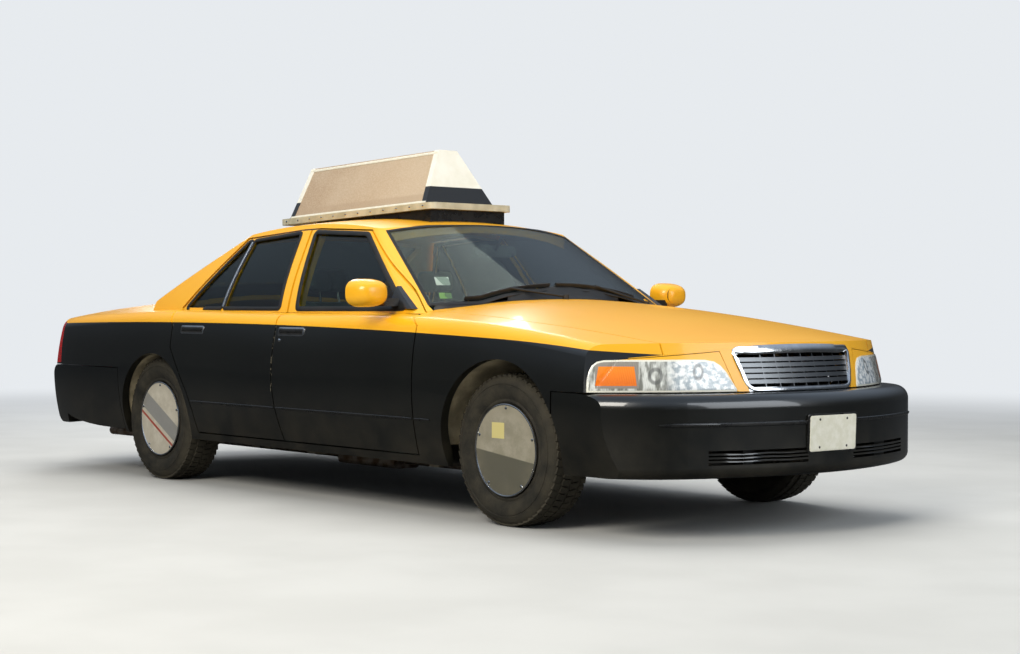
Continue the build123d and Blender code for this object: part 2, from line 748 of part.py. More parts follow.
# Doors
house_frame = glasshouse(frame_depth)
house_door_glass = glasshouse(8)
house_door_glass_inner = glasshouse(8 + glass_thickness)
door_slab = block(rear_end_x, front_end_x, -door_inner_y, -far, 0, 1000)
with BuildPart() as window_frame:
    add(house_0)
    add(house_frame, mode=Mode.SUBTRACT)
    add(block(rear_end_x, front_end_x, 0, -far, 935, body_top), mode=Mode.INTERSECT)
    add(pillar_zone(door_gap), mode=Mode.SUBTRACT)


rebate_width = 55.0
rebate_y = -925.0
rebate_top_y = -880.0
rebate_z = 900.0


def door_rebate(outline):
    """Step round a right-hand door's inner edge, which lets it swing past its neighbours."""
    with BuildPart() as step:
        add(block(rear_end_x, front_end_x, 20 - door_inner_y, rebate_y, 0, rebate_z))
        add(block(rear_end_x, front_end_x, 20 - door_inner_y, rebate_top_y, 0, 1000))
        add(outline_prism(outline, -door_gap / 2 - rebate_width), mode=Mode.SUBTRACT)
    return step.part


def door_shell(outline, windows, hinge_x):
    """Door body with its window frame, windows cut out and the hinge edge thinned."""
    shape = outline_prism(outline, -door_gap / 2)
    hinge_edge_x = hinge_x + hinge_setback
    with BuildPart() as door:
        add(body_0)
        add(door_slab, mode=Mode.INTERSECT)
        add(door_rebate(outline), mode=Mode.SUBTRACT)
        add(window_frame.part)
        add(shape, mode=Mode.INTERSECT)
        for window in windows:
            add(outline_prism(window), mode=Mode.SUBTRACT)
        add(block(hinge_edge_x - 50, hinge_edge_x, -door_inner_y, -door_inner_y - 22, 0, 930),
            mode=Mode.SUBTRACT)
        add(hinge_pockets(hinge_x), mode=Mode.SUBTRACT)
    return door.part


def door_glass(windows):
    """Panes that fill a door's windows."""
    with BuildPart() as glass:
        for window in windows:
            add(outline_prism(window))
        add(house_door_glass, mode=Mode.INTERSECT)
        add(house_door_glass_inner, mode=Mode.SUBTRACT)
    return glass.part


mirror_x = front_axle_x - 850.0
mirror_y = -1015.0
mirror_z = 1032.0
mirror_width = 190.0
mirror_height = 124.0
mirror_base_y = -868.0
with BuildPart() as mirror_base:
    add(outline_prism([(mirror_x - 45, belt_z + 9), (mirror_x + 120, belt_z + 9),
                       (mirror_x - 45, belt_z + 118)]))
    add(glasshouse(-12), mode=Mode.INTERSECT)
    add(house_0, mode=Mode.SUBTRACT)
with BuildPart() as side_mirror:
    with BuildSketch(Plane.YZ.offset(mirror_x - 60)):
        with Locations((mirror_y, mirror_z)):
            RectangleRounded(mirror_width, mirror_height, 45)
    with BuildSketch(Plane.YZ.offset(mirror_x + 45)):
        with Locations((mirror_y + 5, mirror_z)):
            RectangleRounded(mirror_width - 60, mirror_height - 44, 35)
    loft()
    add(block(mirror_x - 30, mirror_x + 30, mirror_y + 60, mirror_base_y,
              mirror_z - 62, mirror_z - 25))
    add(mirror_base.part)
    add(glasshouse(0), mode=Mode.SUBTRACT)
    add(body_0, mode=Mode.SUBTRACT)
write_pair(side_mirror.part, "mirror")
for label, outline, windows, hinge_x in (
        ("front", front_door_outline(swing_gap), [front_window], front_hinge_x),
        ("rear", rear_door_outline(rear_swing_gap), [rear_window, quarter_window], rear_hinge_x)):
    write_pair(door_shell(outline, windows, hinge_x), f"door_{label}")
    write_pair(door_glass(windows), f"door_glass_{label}")

# Cowl panel and firewall
firewall_x = fender_line_x + 96.0
cowl_top_z = 1100.0
cowl_half = post_inner_y - seat_gap
with BuildPart() as cowl:
    add(body_0)
    add(lower_body(lid_skin), mode=Mode.SUBTRACT)
    add(plan_prism((hood_rear_x - cowl_gap, hood_rear_x - 190 - cowl_gap, hood_half), [],
                   (cowl_x - 60, cowl_x - 285, screen_base_half)), mode=Mode.INTERSECT)
    add(block(cabin_front_x - 500, front_end_x, -cowl_half, cowl_half, 880, cowl_top_z),
        mode=Mode.INTERSECT)
    add(house_glass, mode=Mode.SUBTRACT)
write(cowl.part, "cowl_panel")

# Floor: front floor with a tunnel, heel board, rear floor and boot well
floor_half = 762.0
heel_x = rear_axle_x + 640.0
boot_well_x = rear_axle_x - 560.0
boot_end_x = rear_end_x + 200.0
tunnel_half = 150.0
tunnel_z = 430.0
front_lining_y = 500.0
rear_lining_y = rear_track / 2 - 178.0
with BuildPart() as floor_pan:
    with BuildSketch(Plane.XZ.offset(-floor_half)):
        with BuildLine():
            Polyline((heel_x, floor_z), (heel_x, rear_floor_z), (boot_well_x + floor_sheet, rear_floor_z),
                     (boot_well_x + floor_sheet, boot_floor_z), (boot_end_x, boot_floor_z),
                     (boot_end_x, boot_floor_z + floor_sheet),
                     (boot_well_x, boot_floor_z + floor_sheet),
                     (boot_well_x, rear_floor_z + floor_sheet),
                     (heel_x + floor_sheet, rear_floor_z + floor_sheet),
                     (heel_x + floor_sheet, floor_z), close=True)
        make_face()
    extrude(amount=2 * floor_half)
    add(block(heel_x, heel_x + floor_sheet, -tunnel_half, tunnel_half, floor_z, tunnel_z - floor_sheet),
        mode=Mode.SUBTRACT)
    with BuildSketch(Plane.YZ.offset(heel_x)):
        with BuildLine():
            Polyline((-floor_half, floor_z), (-tunnel_half - 40, floor_z), (-tunnel_half, tunnel_z - 20),
                     (tunnel_half, tunnel_z - 20), (tunnel_half + 40, floor_z), (floor_half, floor_z),
                     (floor_half, floor_z + floor_sheet), (tunnel_half + 58, floor_z + floor_sheet),
                     (tunnel_half + 18, tunnel_z), (-tunnel_half - 18, tunnel_z),
                     (-tunnel_half - 58, floor_z + floor_sheet), (-floor_half, floor_z + floor_sheet),
                     close=True)
        make_face()
    extrude(amount=firewall_x - heel_x)
    for side in (-1, 1):
        add(block(rear_axle_x - 420, rear_axle_x + 420, side * (rear_lining_y - 8),
                  side * half_width, 0, 1000), mode=Mode.SUBTRACT)
write(floor_pan.part, "floor_pan")

with BuildPart() as firewall:
    add(block(firewall_x, firewall_x + 20, -floor_half, floor_half, floor_z, 885))
    add(block(firewall_x, firewall_x + 20, -tunnel_half, tunnel_half, floor_z, tunnel_z - floor_sheet),
        mode=Mode.SUBTRACT)

# Bulkheads: parcel shelf, seat bulkhead and tail panel round the boot, with the firewall
shelf_z = 900.0
tail_panel_half = 560.0
bulkhead_x = rear_axle_x - 20.0
bulkhead_half = rear_lining_y - 10.0
with BuildPart() as boot_frame:
    add(block(backlight_base_x - 40, bulkhead_x, -floor_half, floor_half, shelf_z, shelf_z + 18))
    add(lower_body(skin + seat_gap), mode=Mode.INTERSECT)
    add(block(bulkhead_x - 18, bulkhead_x, -bulkhead_half, bulkhead_half,
              rear_floor_z + floor_sheet, shelf_z))
    add(block(boot_end_x, boot_end_x + 20, -tail_panel_half, tail_panel_half,
              boot_floor_z + floor_sheet, lid_bottom_z - 20))
    add(firewall.part)
write(boot_frame.part, "bulkheads")

# Deck strip between the backlight and the boot lid
with BuildPart() as deck_strip:
    add(body_0)
    add(lower_body(lid_skin), mode=Mode.SUBTRACT)
    add(plan_prism((backlight_base_x + 60, backlight_base_x + 145, 720), [],
                   (lid_front_x + lid_gap, lid_front_x + 75 + lid_gap, 720)), mode=Mode.INTERSECT)
    add(block(rear_end_x, 0, -half_width, half_width, 900, 1100), mode=Mode.INTERSECT)
    add(house_glass, mode=Mode.SUBTRACT)
    add(quarter.part, mode=Mode.SUBTRACT)
    mirror(quarter.part, about=Plane.XZ, mode=Mode.SUBTRACT)
write(deck_strip.part, "deck_strip")

# Wheelhouses: a half round lining over each wheel with a wall on its inner side
def lining(x, radius, inner_y, wall_z):
    """Right-hand lining over one wheel."""
    with BuildPart() as shell:
        with BuildSketch(Plane.XZ.offset(inner_y)):
            with Locations((x, axle_z + arch_rise)):
                Circle(radius + lining_wall)
        extrude(amount=half_width)
        with BuildSketch(Plane.XZ.offset(inner_y + lining_wall)):
            with Locations((x, axle_z + arch_rise)):
                Circle(radius)
        extrude(amount=half_width, mode=Mode.SUBTRACT)
        add(block(x - radius - 10, x + radius + 10, -inner_y + 5, -inner_y - lining_wall - 0.01, 0, wall_z),
            mode=Mode.SUBTRACT)
        add(block(x - radius - 10, x + radius + 10, 0, -far, 0, axle_z), mode=Mode.SUBTRACT)
        add(hull_skin, mode=Mode.INTERSECT)
    return shell.part


with BuildPart() as linings:
    add(lining(front_axle_x, front_arch_radius + 8, front_lining_y, front_rail_z + rail_height + 205))
    add(lining(rear_axle_x, rear_arch_radius + 6, rear_lining_y, axle_z + 120))
    mirror(linings.part, about=Plane.XZ)
write(linings.part, "wheelhouses")

# Chassis: two rails with kick-ups, each with its boot length bolted on, and cross members
RAIL = [
    (rail_front_x, front_rail_z), (front_axle_x - 360, front_rail_z), (front_axle_x - 500, rail_z),
    (rear_axle_x + 640, rail_z), (rear_axle_x + 380, rear_rail_z), (boot_well_x + 110, rear_rail_z),
    (boot_well_x + 40, boot_rail_z), (boot_well_x + floor_sheet, boot_rail_z),
    (boot_well_x + floor_sheet, rear_rail_z + rail_height), (rear_axle_x + 340, rear_rail_z + rail_height),
    (rear_axle_x + 610, rail_z + rail_height), (firewall_x + 21, rail_z + rail_height),
    (firewall_x + 120, front_rail_z + rail_height), (rail_front_x, front_rail_z + rail_height),
]
with BuildPart() as rail:
    with BuildSketch(Plane.XZ.offset(rail_y)):
        with BuildLine():
            Polyline(*RAIL, close=True)
        make_face()
    extrude(amount=rail_width)
    add(block(rail_rear_x, boot_well_x + floor_sheet - seat_gap, -rail_y - rail_width, -rail_y,
              boot_rail_z, boot_rail_z + rail_height))
write_pair(rail.part, "chassis_rail")

# Cross members between the rails, and the arms that carry the body outside them
rail_outer_y = rail_y + rail_width
CROSS_MEMBERS = [
    (rail_front_x - 90, front_rail_z + 10), (gearbox_x + 30, gearbox_z - cross_height),
    (0, gearbox_z - cross_height), (rear_axle_x + 700, gearbox_z - cross_height),
    (rail_rear_x + 10, boot_rail_z + 10),
]
with BuildPart() as outrigger:
    add(block(0, 70, -rail_outer_y, -post_inner_y, rail_z + 10, rail_z + 60))
    add(block(0, 70, 50 - post_inner_y, -post_inner_y, rail_z + 10, floor_z))
with BuildPart() as cross_members:
    for x, z in CROSS_MEMBERS:
        add(block(x, x + 90, -rail_y, rail_y, z, z + cross_height))
    add(block(front_axle_x - 45, front_axle_x + 45, -rail_outer_y, rail_outer_y,
              front_rail_z - 60, front_rail_z))
    with Locations(*[(x, 0, 0) for x in (fender_line_x - 150, b_line_x, rear_axle_x + 680)]):
        add(outrigger.part)
    mirror(cross_members.part, about=Plane.XZ)
write(cross_members.part, "cross_members")

# Engine and gearbox as one plain block each, joined
engine_z = 330.0
engine_half = 250.0
with BuildPart() as engine:
    add(block(front_axle_x - 200, front_axle_x + 480, -engine_half, engine_half, engine_z, engine_z + 420))
    add(block(gearbox_x, front_axle_x - 190, -110, 110, gearbox_z, axle_z + 62))
    for side in (-1, 1):
        add(block(front_axle_x + 60, front_axle_x + 150, side * (engine_half - 5), side * rail_y,
                  front_rail_z + 40, front_rail_z + 85))
write(engine.part, "engine_block")

# Radiator and its support behind the grille
with BuildPart() as radiator:
    add(block(radiator_x, radiator_x + 55, -370, 370, front_rail_z + rail_height, 740))
    add(block(radiator_x - 20, radiator_x + 30, -600, 600, 690, 735))
    for side in (-1, 1):
        add(block(radiator_x, radiator_x + 40, side * rail_y, side * (rail_y + rail_width),
                  front_rail_z + rail_height, 700))
write(radiator.part, "radiator")

# Rear axle with its housing, links, springs and propeller shaft
axle_tube_radius = 38.0
hub_bore_radius = 24.0
running_gap = 0.4
hub_inner = 62.0
stub_reach = 50.0
spring_y = 530.0
spring_radius = 48.0
rear_wheel_y = rear_track / 2
front_wheel_y = front_track / 2
with BuildPart() as rear_axle:
    with BuildSketch(Plane.XZ.offset(-(rear_wheel_y - hub_inner))):
        with Locations((rear_axle_x, axle_z)):
            Circle(axle_tube_radius)
    extrude(amount=2 * (rear_wheel_y - hub_inner))
    with BuildSketch(Plane.XZ.offset(-(rear_wheel_y + stub_reach))):
        with Locations((rear_axle_x, axle_z)):
            Circle(hub_bore_radius - running_gap)
    extrude(amount=2 * (rear_wheel_y + stub_reach))
    with Locations((rear_axle_x, 0, axle_z)):
        Sphere(140)
    for side in (-1, 1):
        add(block(rear_axle_x + 20, rear_axle_x + 620, side * 600, side * 640, axle_z - 88, axle_z - 48))
        add(block(rear_axle_x - 30, rear_axle_x + 60, side * 600, side * 640, axle_z - 88, axle_z - 10))
        with Locations((rear_axle_x, side * spring_y, axle_z)):
            Cylinder(spring_radius, rear_floor_z - axle_z, align=(Align.CENTER, Align.CENTER, Align.MIN))
    with BuildSketch(Plane.YZ.offset(rear_axle_x)):
        with Locations((0, axle_z)):
            Circle(38)
    extrude(amount=gearbox_x - rear_axle_x)
    for side in (-1, 1):
        add(block(rear_axle_x + 560, rear_axle_x + 620, side * 600, side * 640, axle_z - 88, floor_z))
write(rear_axle.part, "rear_axle")

# Exhaust and fuel tank
pipe_radius = 28.0
pipe_y = -engine_half - pipe_radius - seat_gap
pipe_z = floor_z - rail_height - pipe_radius - 2
with BuildPart() as silencer:
    add(block(-410, 90, pipe_y - 85, pipe_y + 85, pipe_z - 50, pipe_z + 26))
    fillet(silencer.edges().filter_by(Axis.X), 28)
with BuildPart() as exhaust:
    with BuildLine() as route:
        FilletPolyline((front_axle_x - 100, pipe_y, 360), (front_axle_x - 260, pipe_y, 330),
                       (front_axle_x - 560, pipe_y, pipe_z), (boot_well_x - 60, pipe_y, pipe_z),
                       (boot_well_x - 360, pipe_y - 250, pipe_z + 24),
                       (rear_end_x + 140, pipe_y - 260, pipe_z + 24), radius=90)
    with BuildSketch(Plane(route.line @ 0, z_dir=route.line % 0)):
        Circle(pipe_radius)
    sweep()
    add(silencer.part)
write(exhaust.part, "exhaust")

with BuildPart() as tank:
    add(block(boot_well_x + 30, rear_axle_x - 180, -360, 360, 260, rear_floor_z))
    fillet(tank.edges().filter_by(Axis.Y).group_by(Axis.Z)[0], 35)
write(tank.part, "fuel_tank")

# Front suspension: upper and lower arms, ball joints and spring legs
kingpin_y = front_wheel_y - 62.0
lower_joint_z = axle_z - 108.0
upper_joint_z = axle_z + 122.0
joint_radius = 30.0
lower_arm = 32.0
upper_arm = 26.0
knuckle_bottom_z = lower_joint_z + lower_arm / 2 + 4
knuckle_top_z = upper_joint_z - upper_arm / 2 - 4
with BuildPart() as front_suspension:
    for z, reach, thick in ((lower_joint_z, 190, lower_arm), (upper_joint_z, 130, upper_arm)):
        with BuildSketch(Plane.XY.offset(z - thick / 2)):
            with BuildLine():
                Polyline((front_axle_x - reach, -rail_y - rail_width), (front_axle_x - joint_radius, -kingpin_y),
                         (front_axle_x + joint_radius, -kingpin_y),
                         (front_axle_x + reach, -rail_y - rail_width),
                         (front_axle_x + reach - 60, -rail_y - rail_width),
                         (front_axle_x, -kingpin_y + 130),
                         (front_axle_x - reach + 60, -rail_y - rail_width), close=True)
            make_face()
            with Locations((front_axle_x, -kingpin_y)):
                Circle(joint_radius)
        extrude(amount=thick)
    with Locations((front_axle_x, -kingpin_y, knuckle_bottom_z - seat_gap - 12)):
        Cylinder(18, 12, align=(Align.CENTER, Align.CENTER, Align.MIN))
    with Locations((front_axle_x, -kingpin_y, knuckle_top_z + seat_gap)):
        Cylinder(18, 12, align=(Align.CENTER, Align.CENTER, Align.MIN))
    add(block(front_axle_x - 35, front_axle_x + 35, -rail_y - rail_width, -rail_y - rail_width - 70,
              lower_joint_z, axle_z + 250))
    add(block(front_axle_x - 150, front_axle_x + 150, -rail_y - rail_width, -rail_y - rail_width - 24,
              lower_joint_z - 20, front_rail_z + rail_height + 80))
    mirror(front_suspension.part, about=Plane.XZ)
write(front_suspension.part, "front_suspension")

# Steering knuckles with the wheel spindles
with BuildPart() as knuckle:
    add(block(front_axle_x - 28, front_axle_x + 28, -kingpin_y - 24, -kingpin_y + 24,
              knuckle_bottom_z, knuckle_top_z))
    with BuildSketch(Plane.XZ.offset(kingpin_y)):
        with Locations((front_axle_x, axle_z)):
            Circle(hub_bore_radius - running_gap)
    extrude(amount=front_wheel_y + stub_reach - kingpin_y)
write_pair(knuckle.part, "knuckle")

# Wheels: tyre, and rim with its brake disc and flat cover, drawn facing +Y
rim_radius = 200.0
cover_radius = 205.0
cover_y = 102.0
rim_wall = 14.0
hub_radius = 50.0
brake_radius = 140.0
tyre_half = tyre_width / 2
with BuildPart() as tyre:
    with BuildSketch(Plane.XY):
        with BuildLine():
            Polyline((rim_radius, -85), (rim_radius + 12, -98), (rim_radius + 60, -tyre_half),
                     (tyre_radius - 42, -tyre_half + 3), (tyre_radius - 12, -90), (tyre_radius, -70),
                     (tyre_radius, 70), (tyre_radius - 12, 90), (tyre_radius - 42, tyre_half - 3),
                     (rim_radius + 60, tyre_half), (rim_radius + 12, 98), (rim_radius, 85), close=True)
        make_face()
    revolve(axis=Axis.Y)
with BuildPart() as rim:
    with BuildSketch(Plane.XY):
        with BuildLine():
            Polyline((0, stub_reach + 10), (hub_bore_radius, stub_reach + 10), (hub_bore_radius, -35),
                     (hub_radius, -35), (hub_radius, -30), (brake_radius, -30), (brake_radius, -10),
                     (hub_radius, -10), (hub_radius, 70), (rim_radius - rim_wall, 70),
                     (rim_radius - rim_wall, -84), (rim_radius + 4, -100), (rim_radius + 9, -97),
                     (rim_radius - seat_gap, -86), (rim_radius - seat_gap, 84), (cover_radius, cover_y - 3),
                     (cover_radius, cover_y), (0, cover_y), close=True)
        make_face()
    revolve(axis=Axis.Y)
for label, x, y in (("front_r", front_axle_x, -front_wheel_y), ("front_l", front_axle_x, front_wheel_y),
                    ("rear_r", rear_axle_x, -rear_wheel_y), ("rear_l", rear_axle_x, rear_wheel_y)):
    turn = 180 if y < 0 else 0
    with BuildPart() as wheel_tyre:
        with Locations(Location((x, y, axle_z), (0, 0, turn))):
            add(tyre.part)
    write(wheel_tyre.part, f"tyre_{label}")
    with BuildPart() as wheel_rim:
        with Locations(Location((x, y, axle_z), (0, 0, turn))):
            add(rim.part)
    write(wheel_rim.part, f"wheel_{label}")

# Dashboard with the steering column
dash_front_x = firewall_x
steering_x = fender_line_x - 470.0
steering_y = 370.0
steering_z = 880.0
steering_tilt = 25.0
wheel_ring_radius = 190.0
ring_tube = 15.0
tilt = radians(steering_tilt)
column = Plane(origin=(steering_x, steering_y, steering_z), x_dir=(0, 1, 0),
               z_dir=(cos(tilt), 0, -sin(tilt)))
with BuildPart() as dashboard:
    with BuildSketch(Plane.XZ.offset(-floor_half + 30)):
        with BuildLine():
            Polyline((dash_front_x, 560), (dash_front_x, 850), (dash_front_x - 190, 900),
                     (dash_front_x - 330, 885), (dash_front_x - 360, 800), (dash_front_x - 300, 640),
                     (dash_front_x - 200, 560), close=True)
        make_face()
    extrude(amount=2 * (floor_half - 30))
    with BuildSketch(column.offset(40)):
        Circle(32)
    extrude(amount=260)
write(dashboard.part, "dashboard")

with BuildPart() as steering_wheel:
    with BuildSketch(Plane(origin=column.origin, x_dir=column.z_dir, z_dir=column.x_dir)):
        with Locations((0, wheel_ring_radius - ring_tube)):
            Circle(ring_tube)
    revolve(axis=Axis(column.origin, column.z_dir))
    with BuildSketch(column.offset(-10)):
        Circle(60)
        for spoke in (0, 120, 240):
            with Locations(Location((0, 0, 0), (0, 0, spoke + 90))):
                with Locations((wheel_ring_radius / 2, 0)):
                    Rectangle(wheel_ring_radius - 20, 34)
    extrude(amount=22)
    with BuildSketch(column.offset(10)):
        Circle(22)
    extrude(amount=30 - seat_gap)
write(steering_wheel.part, "steering_wheel")

# Seats
front_seat_x = -70.0
front_seat_y = 370.0
seat_width = 500.0
cushion_z = tunnel_z + 8
back_bottom = (front_seat_x - 320, cushion_z + 40)


def seat_block(x0, x1, half, z0, z1, radius):
    """Rounded upholstery block across a seat's middle plane."""
    with BuildPart() as pad:
        add(block(x0, x1, -half, half, z0, z1))
        fillet(pad.edges(), radius)
    return pad.part


with BuildPart() as seat_back:
    with BuildSketch(Plane.XZ.offset(-seat_width / 2)):
        with BuildLine():
            Polyline((front_seat_x - 200, cushion_z + 60), back_bottom,
                     (front_seat_x - 455, 1010), (front_seat_x - 345, 1020), close=True)
        make_face()
    extrude(amount=seat_width)
    fillet(seat_back.edges(), 25)
with BuildPart() as front_seat:
    add(seat_block(front_seat_x - 270, front_seat_x + 290, seat_width / 2, cushion_z, cushion_z + 130, 30))
    add(seat_back.part)
    add(seat_block(front_seat_x - 465, front_seat_x - 375, 130, 1030, 1180, 30))
    for pin_y in (-60, 60):
        add(block(front_seat_x - 425, front_seat_x - 413, pin_y - 6, pin_y + 6, 960, 1060))
with BuildPart() as front_seats:
    with Locations((0, -front_seat_y, 0), (0, front_seat_y, 0)):
        add(front_seat.part)
write(front_seats.part, "front_seats")

with BuildPart() as seat_bases:
    for side in (-1, 1):
        add(block(front_seat_x - 230, front_seat_x + 240, side * 215, side * 590,
                  floor_z + floor_sheet, cushion_z))
write(seat_bases.part, "seat_bases")

rear_seat_z = rear_floor_z + floor_sheet
rear_seat_half = 620.0
with BuildPart() as rear_back:
    with BuildSketch(Plane.XZ.offset(-rear_seat_half)):
        with BuildLine():
            Polyline((bulkhead_x + seat_gap, rear_seat_z + 5), (bulkhead_x + seat_gap, shelf_z + 50),
                     (bulkhead_x + 90, shelf_z + 50), (bulkhead_x + 215, rear_seat_z + 90),
                     (bulkhead_x + 195, rear_seat_z + 5), close=True)
        make_face()
    extrude(amount=2 * rear_seat_half)
    fillet(rear_back.edges().filter_by(Axis.Y).group_by(Axis.X)[-1], 30)
with BuildPart() as rear_seat:
    add(seat_block(bulkhead_x + 160, heel_x + 60, rear_seat_half, rear_seat_z, rear_seat_z + 110, 30))
    add(rear_back.part)
write(rear_seat.part, "rear_seat")

# Roof sign: tray on feet, and the box with its two leaning panels
sign_tilt_slope = 0.034
tray_rear_x = -1101.0
tray_front_x = 287.0
tray_half = 280.0
tray_thickness = 34.0
tray_z = 1499.0
sign_height = 298.0
tray_centre = (tray_rear_x + tray_front_x) / 2
sign_plane = Plane(origin=(0, 0, tray_z), x_dir=(1, 0, sign_tilt_slope), z_dir=(-sign_tilt_slope, 0, 1))
with BuildPart() as sign_feet:
    for foot_x, foot_length in ((tray_front_x - 170, 130), (tray_rear_x + 330, 110)):
        for side in (-1, 1):
            add(block(foot_x, foot_x + foot_length, side * 60, side * 250, roof_peak_z - 120,
                      tray_z + foot_x * sign_tilt_slope - 15))
    add(house_0, mode=Mode.SUBTRACT)
with BuildPart() as sign_tray:
    with BuildSketch(sign_plane):
        with Locations((tray_centre, 0)):
            RectangleRounded(tray_front_x - tray_rear_x, 2 * tray_half, 40)
    extrude(amount=-tray_thickness)
    add(sign_feet.part)
write(sign_tray.part, "roof_sign_tray")

with BuildPart() as sign:
    with BuildSketch(sign_plane.offset(seat_gap)):
        with Locations((tray_centre - 35, 0)):
            Rectangle(1240, 460)
    with BuildSketch(sign_plane.offset(sign_height)):
        with Locations((tray_centre - 90, 0)):
            Rectangle(1165, 120)
    loft(ruled=True)
write(sign.part, "roof_sign")
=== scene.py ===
import bmesh
import bpy
from math import copysign, cos, pi, radians, sin, sqrt
from bpy.props import FloatProperty, FloatVectorProperty, IntProperty, PointerProperty
from mathutils import Matrix, Vector
from mathutils.bvhtree import BVHTree


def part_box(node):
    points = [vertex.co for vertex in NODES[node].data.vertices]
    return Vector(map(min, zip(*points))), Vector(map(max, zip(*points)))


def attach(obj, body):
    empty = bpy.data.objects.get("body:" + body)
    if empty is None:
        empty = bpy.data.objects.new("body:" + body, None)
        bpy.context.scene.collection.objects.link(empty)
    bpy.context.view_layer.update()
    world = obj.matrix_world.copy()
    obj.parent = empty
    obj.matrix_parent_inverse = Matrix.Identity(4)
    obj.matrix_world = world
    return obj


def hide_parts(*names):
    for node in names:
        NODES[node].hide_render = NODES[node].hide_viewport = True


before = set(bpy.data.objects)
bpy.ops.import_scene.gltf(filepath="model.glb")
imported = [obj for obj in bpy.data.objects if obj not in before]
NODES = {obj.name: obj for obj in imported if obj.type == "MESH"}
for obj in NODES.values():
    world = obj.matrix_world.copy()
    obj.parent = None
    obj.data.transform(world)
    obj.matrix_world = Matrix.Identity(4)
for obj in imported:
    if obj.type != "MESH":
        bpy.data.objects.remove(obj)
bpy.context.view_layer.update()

bl_info = {
    "name": "Two-tone sedan cab",
    "version": (1, 0, 0),
    "blender": (4, 5, 0),
    "location": "3D View > Sidebar > Cab",
    "description": "Finishes, trim, seats, wheels and roof sign of a two-tone sedan cab",
    "category": "Object",
}

SIDES = {"r": -1, "l": 1}
FRONT_AXLE_X = 1.602
REAR_AXLE_X = -1.311
TYRE_RADIUS = 0.338
B_LINE_X = FRONT_AXLE_X - 1.721
C_LINE_X = REAR_AXLE_X + 0.197
FENDER_LINE_X = FRONT_AXLE_X - 0.562
WAIST_Z = 0.8775
IMAGE_WIDTH = 1020

# Where rays start: beside, above, ahead of and behind the car
SIDE_PROBE_Y = 1.5
TOP_PROBE_Z = 2.0
NOSE_PROBE_X = 3.5
TAIL_PROBE_X = -3.2

# The roof sign's slope along the roof, the height of its foot at x 0, its height and lean, and its foot's
# middle and half sizes
SIGN_SLOPE = 0.034
SIGN_FOOT_Z = 1.499
SIGN_HEIGHT = 0.298
SIGN_LEAN = 0.17
SIGN_MIDDLE_X = -0.442
SIGN_HALF_LENGTH = 0.62
SIGN_HALF_WIDTH = 0.23

# Trim on the body: heights of the door beads, the bumper strips and the plate, and where the handles and
# the left mirror stand
BEAD_Z = 0.452
STRIP_Z = 0.487
STRIP_SPREAD = radians(58)
PLATE_Z = 0.437
HANDLES = {"front": (0.024, 0.839), "rear": (-0.905, 0.838)}
LOCK_X, LOCK_Z = -0.07, 0.795
MIRROR_CENTRE = (0.7425, 1.015, 1.032)
CROWN_HALF = 0.372
CROWN_Z = 0.783

# Studs on a wheel cover
COVER_STUDS = 5
STUD_CIRCLE = 0.186

# Middle of a front seat, how far a pad's block is drawn in, and the seams pressed into the pads
FRONT_SEAT_Y = 0.37
PAD_INSET = 0.012
SEAM_HALF_WIDTH = 0.02
SEAM_DEPTH = 0.007

# Side view outlines of the door windows, as (x, z)
WINDOWS = {
    "front": [[(FENDER_LINE_X - 0.225, 0.962), (FENDER_LINE_X - 0.790, 1.330),
               (B_LINE_X - 0.085, 1.352), (B_LINE_X + 0.061, 0.957)]],
    "rear": [[(B_LINE_X - 0.101, 0.957), (B_LINE_X - 0.220, 1.350),
              (C_LINE_X + 0.353, 1.320), (C_LINE_X + 0.365, 0.957)],
             [(C_LINE_X + 0.341, 0.957), (C_LINE_X + 0.329, 1.318),
              (C_LINE_X + 0.299, 1.316), (C_LINE_X - 0.014, 0.957)]],
}

# Plan arcs of the screens, base then top: x in the middle, x at the corners, half width
SCREENS = {
    "windscreen": ((1.105, 0.880, 0.772), (0.404, 0.338, 0.612)),
    "backlight": ((-1.616, -1.531, 0.690), (-0.896, -0.876, 0.575)),
}
# Where the march to the windscreen's foot starts, and its step
WINDSCREEN_MARCH = (1.12, -0.003)

# Tyre section from the bead to the middle, as (radius, y), up to the foot of the tread
TYRE_SECTION = [
    (0.2, -0.083), (0.207, -0.093), (0.216, -0.0975), (0.226, -0.0945), (0.238, -0.1035), (0.256, -0.110),
    (0.272, -0.1135), (0.287, -0.1125), (0.290, -0.1095), (0.294, -0.112), (0.306, -0.108), (0.318, -0.099),
    (0.326, -0.09),
]

# Headlamp outline in columns from the outer end inwards: share of the length, then the bearings of foot
# and head about an upright axis inside the nose, in degrees from straight ahead, and the head's height
LENS_COLUMNS = [
    (0.000, 70.70, 70.90, 0.660), (0.010, 70.35, 70.75, 0.701), (0.030, 69.70, 70.25, 0.727),
    (0.064, 68.65, 69.31, 0.7426), (0.110, 67.15, 67.88, 0.7488), (0.217, 63.72, 64.39, 0.7505),
    (0.351, 59.17, 59.75, 0.7508), (0.518, 53.07, 53.41, 0.7508), (0.686, 46.32, 46.35, 0.7508),
    (0.786, 41.91, 41.69, 0.7495), (0.846, 39.12, 38.74, 0.742), (0.886, 37.18, 36.76, 0.726),
    (0.926, 35.20, 34.80, 0.699), (0.960, 33.49, 33.22, 0.665), (1.000, 31.40, 31.32, 0.624),
]
LENS_AXIS_X = 1.85
LENS_REACH = 0.9
LENS_FOOT_Z = 0.6165
LENS_HEIGHT = 0.1335
# Heights between which the rays for the lens meet the nose
LENS_LOW_Z = 0.6205
LENS_HIGH_Z = 0.7455

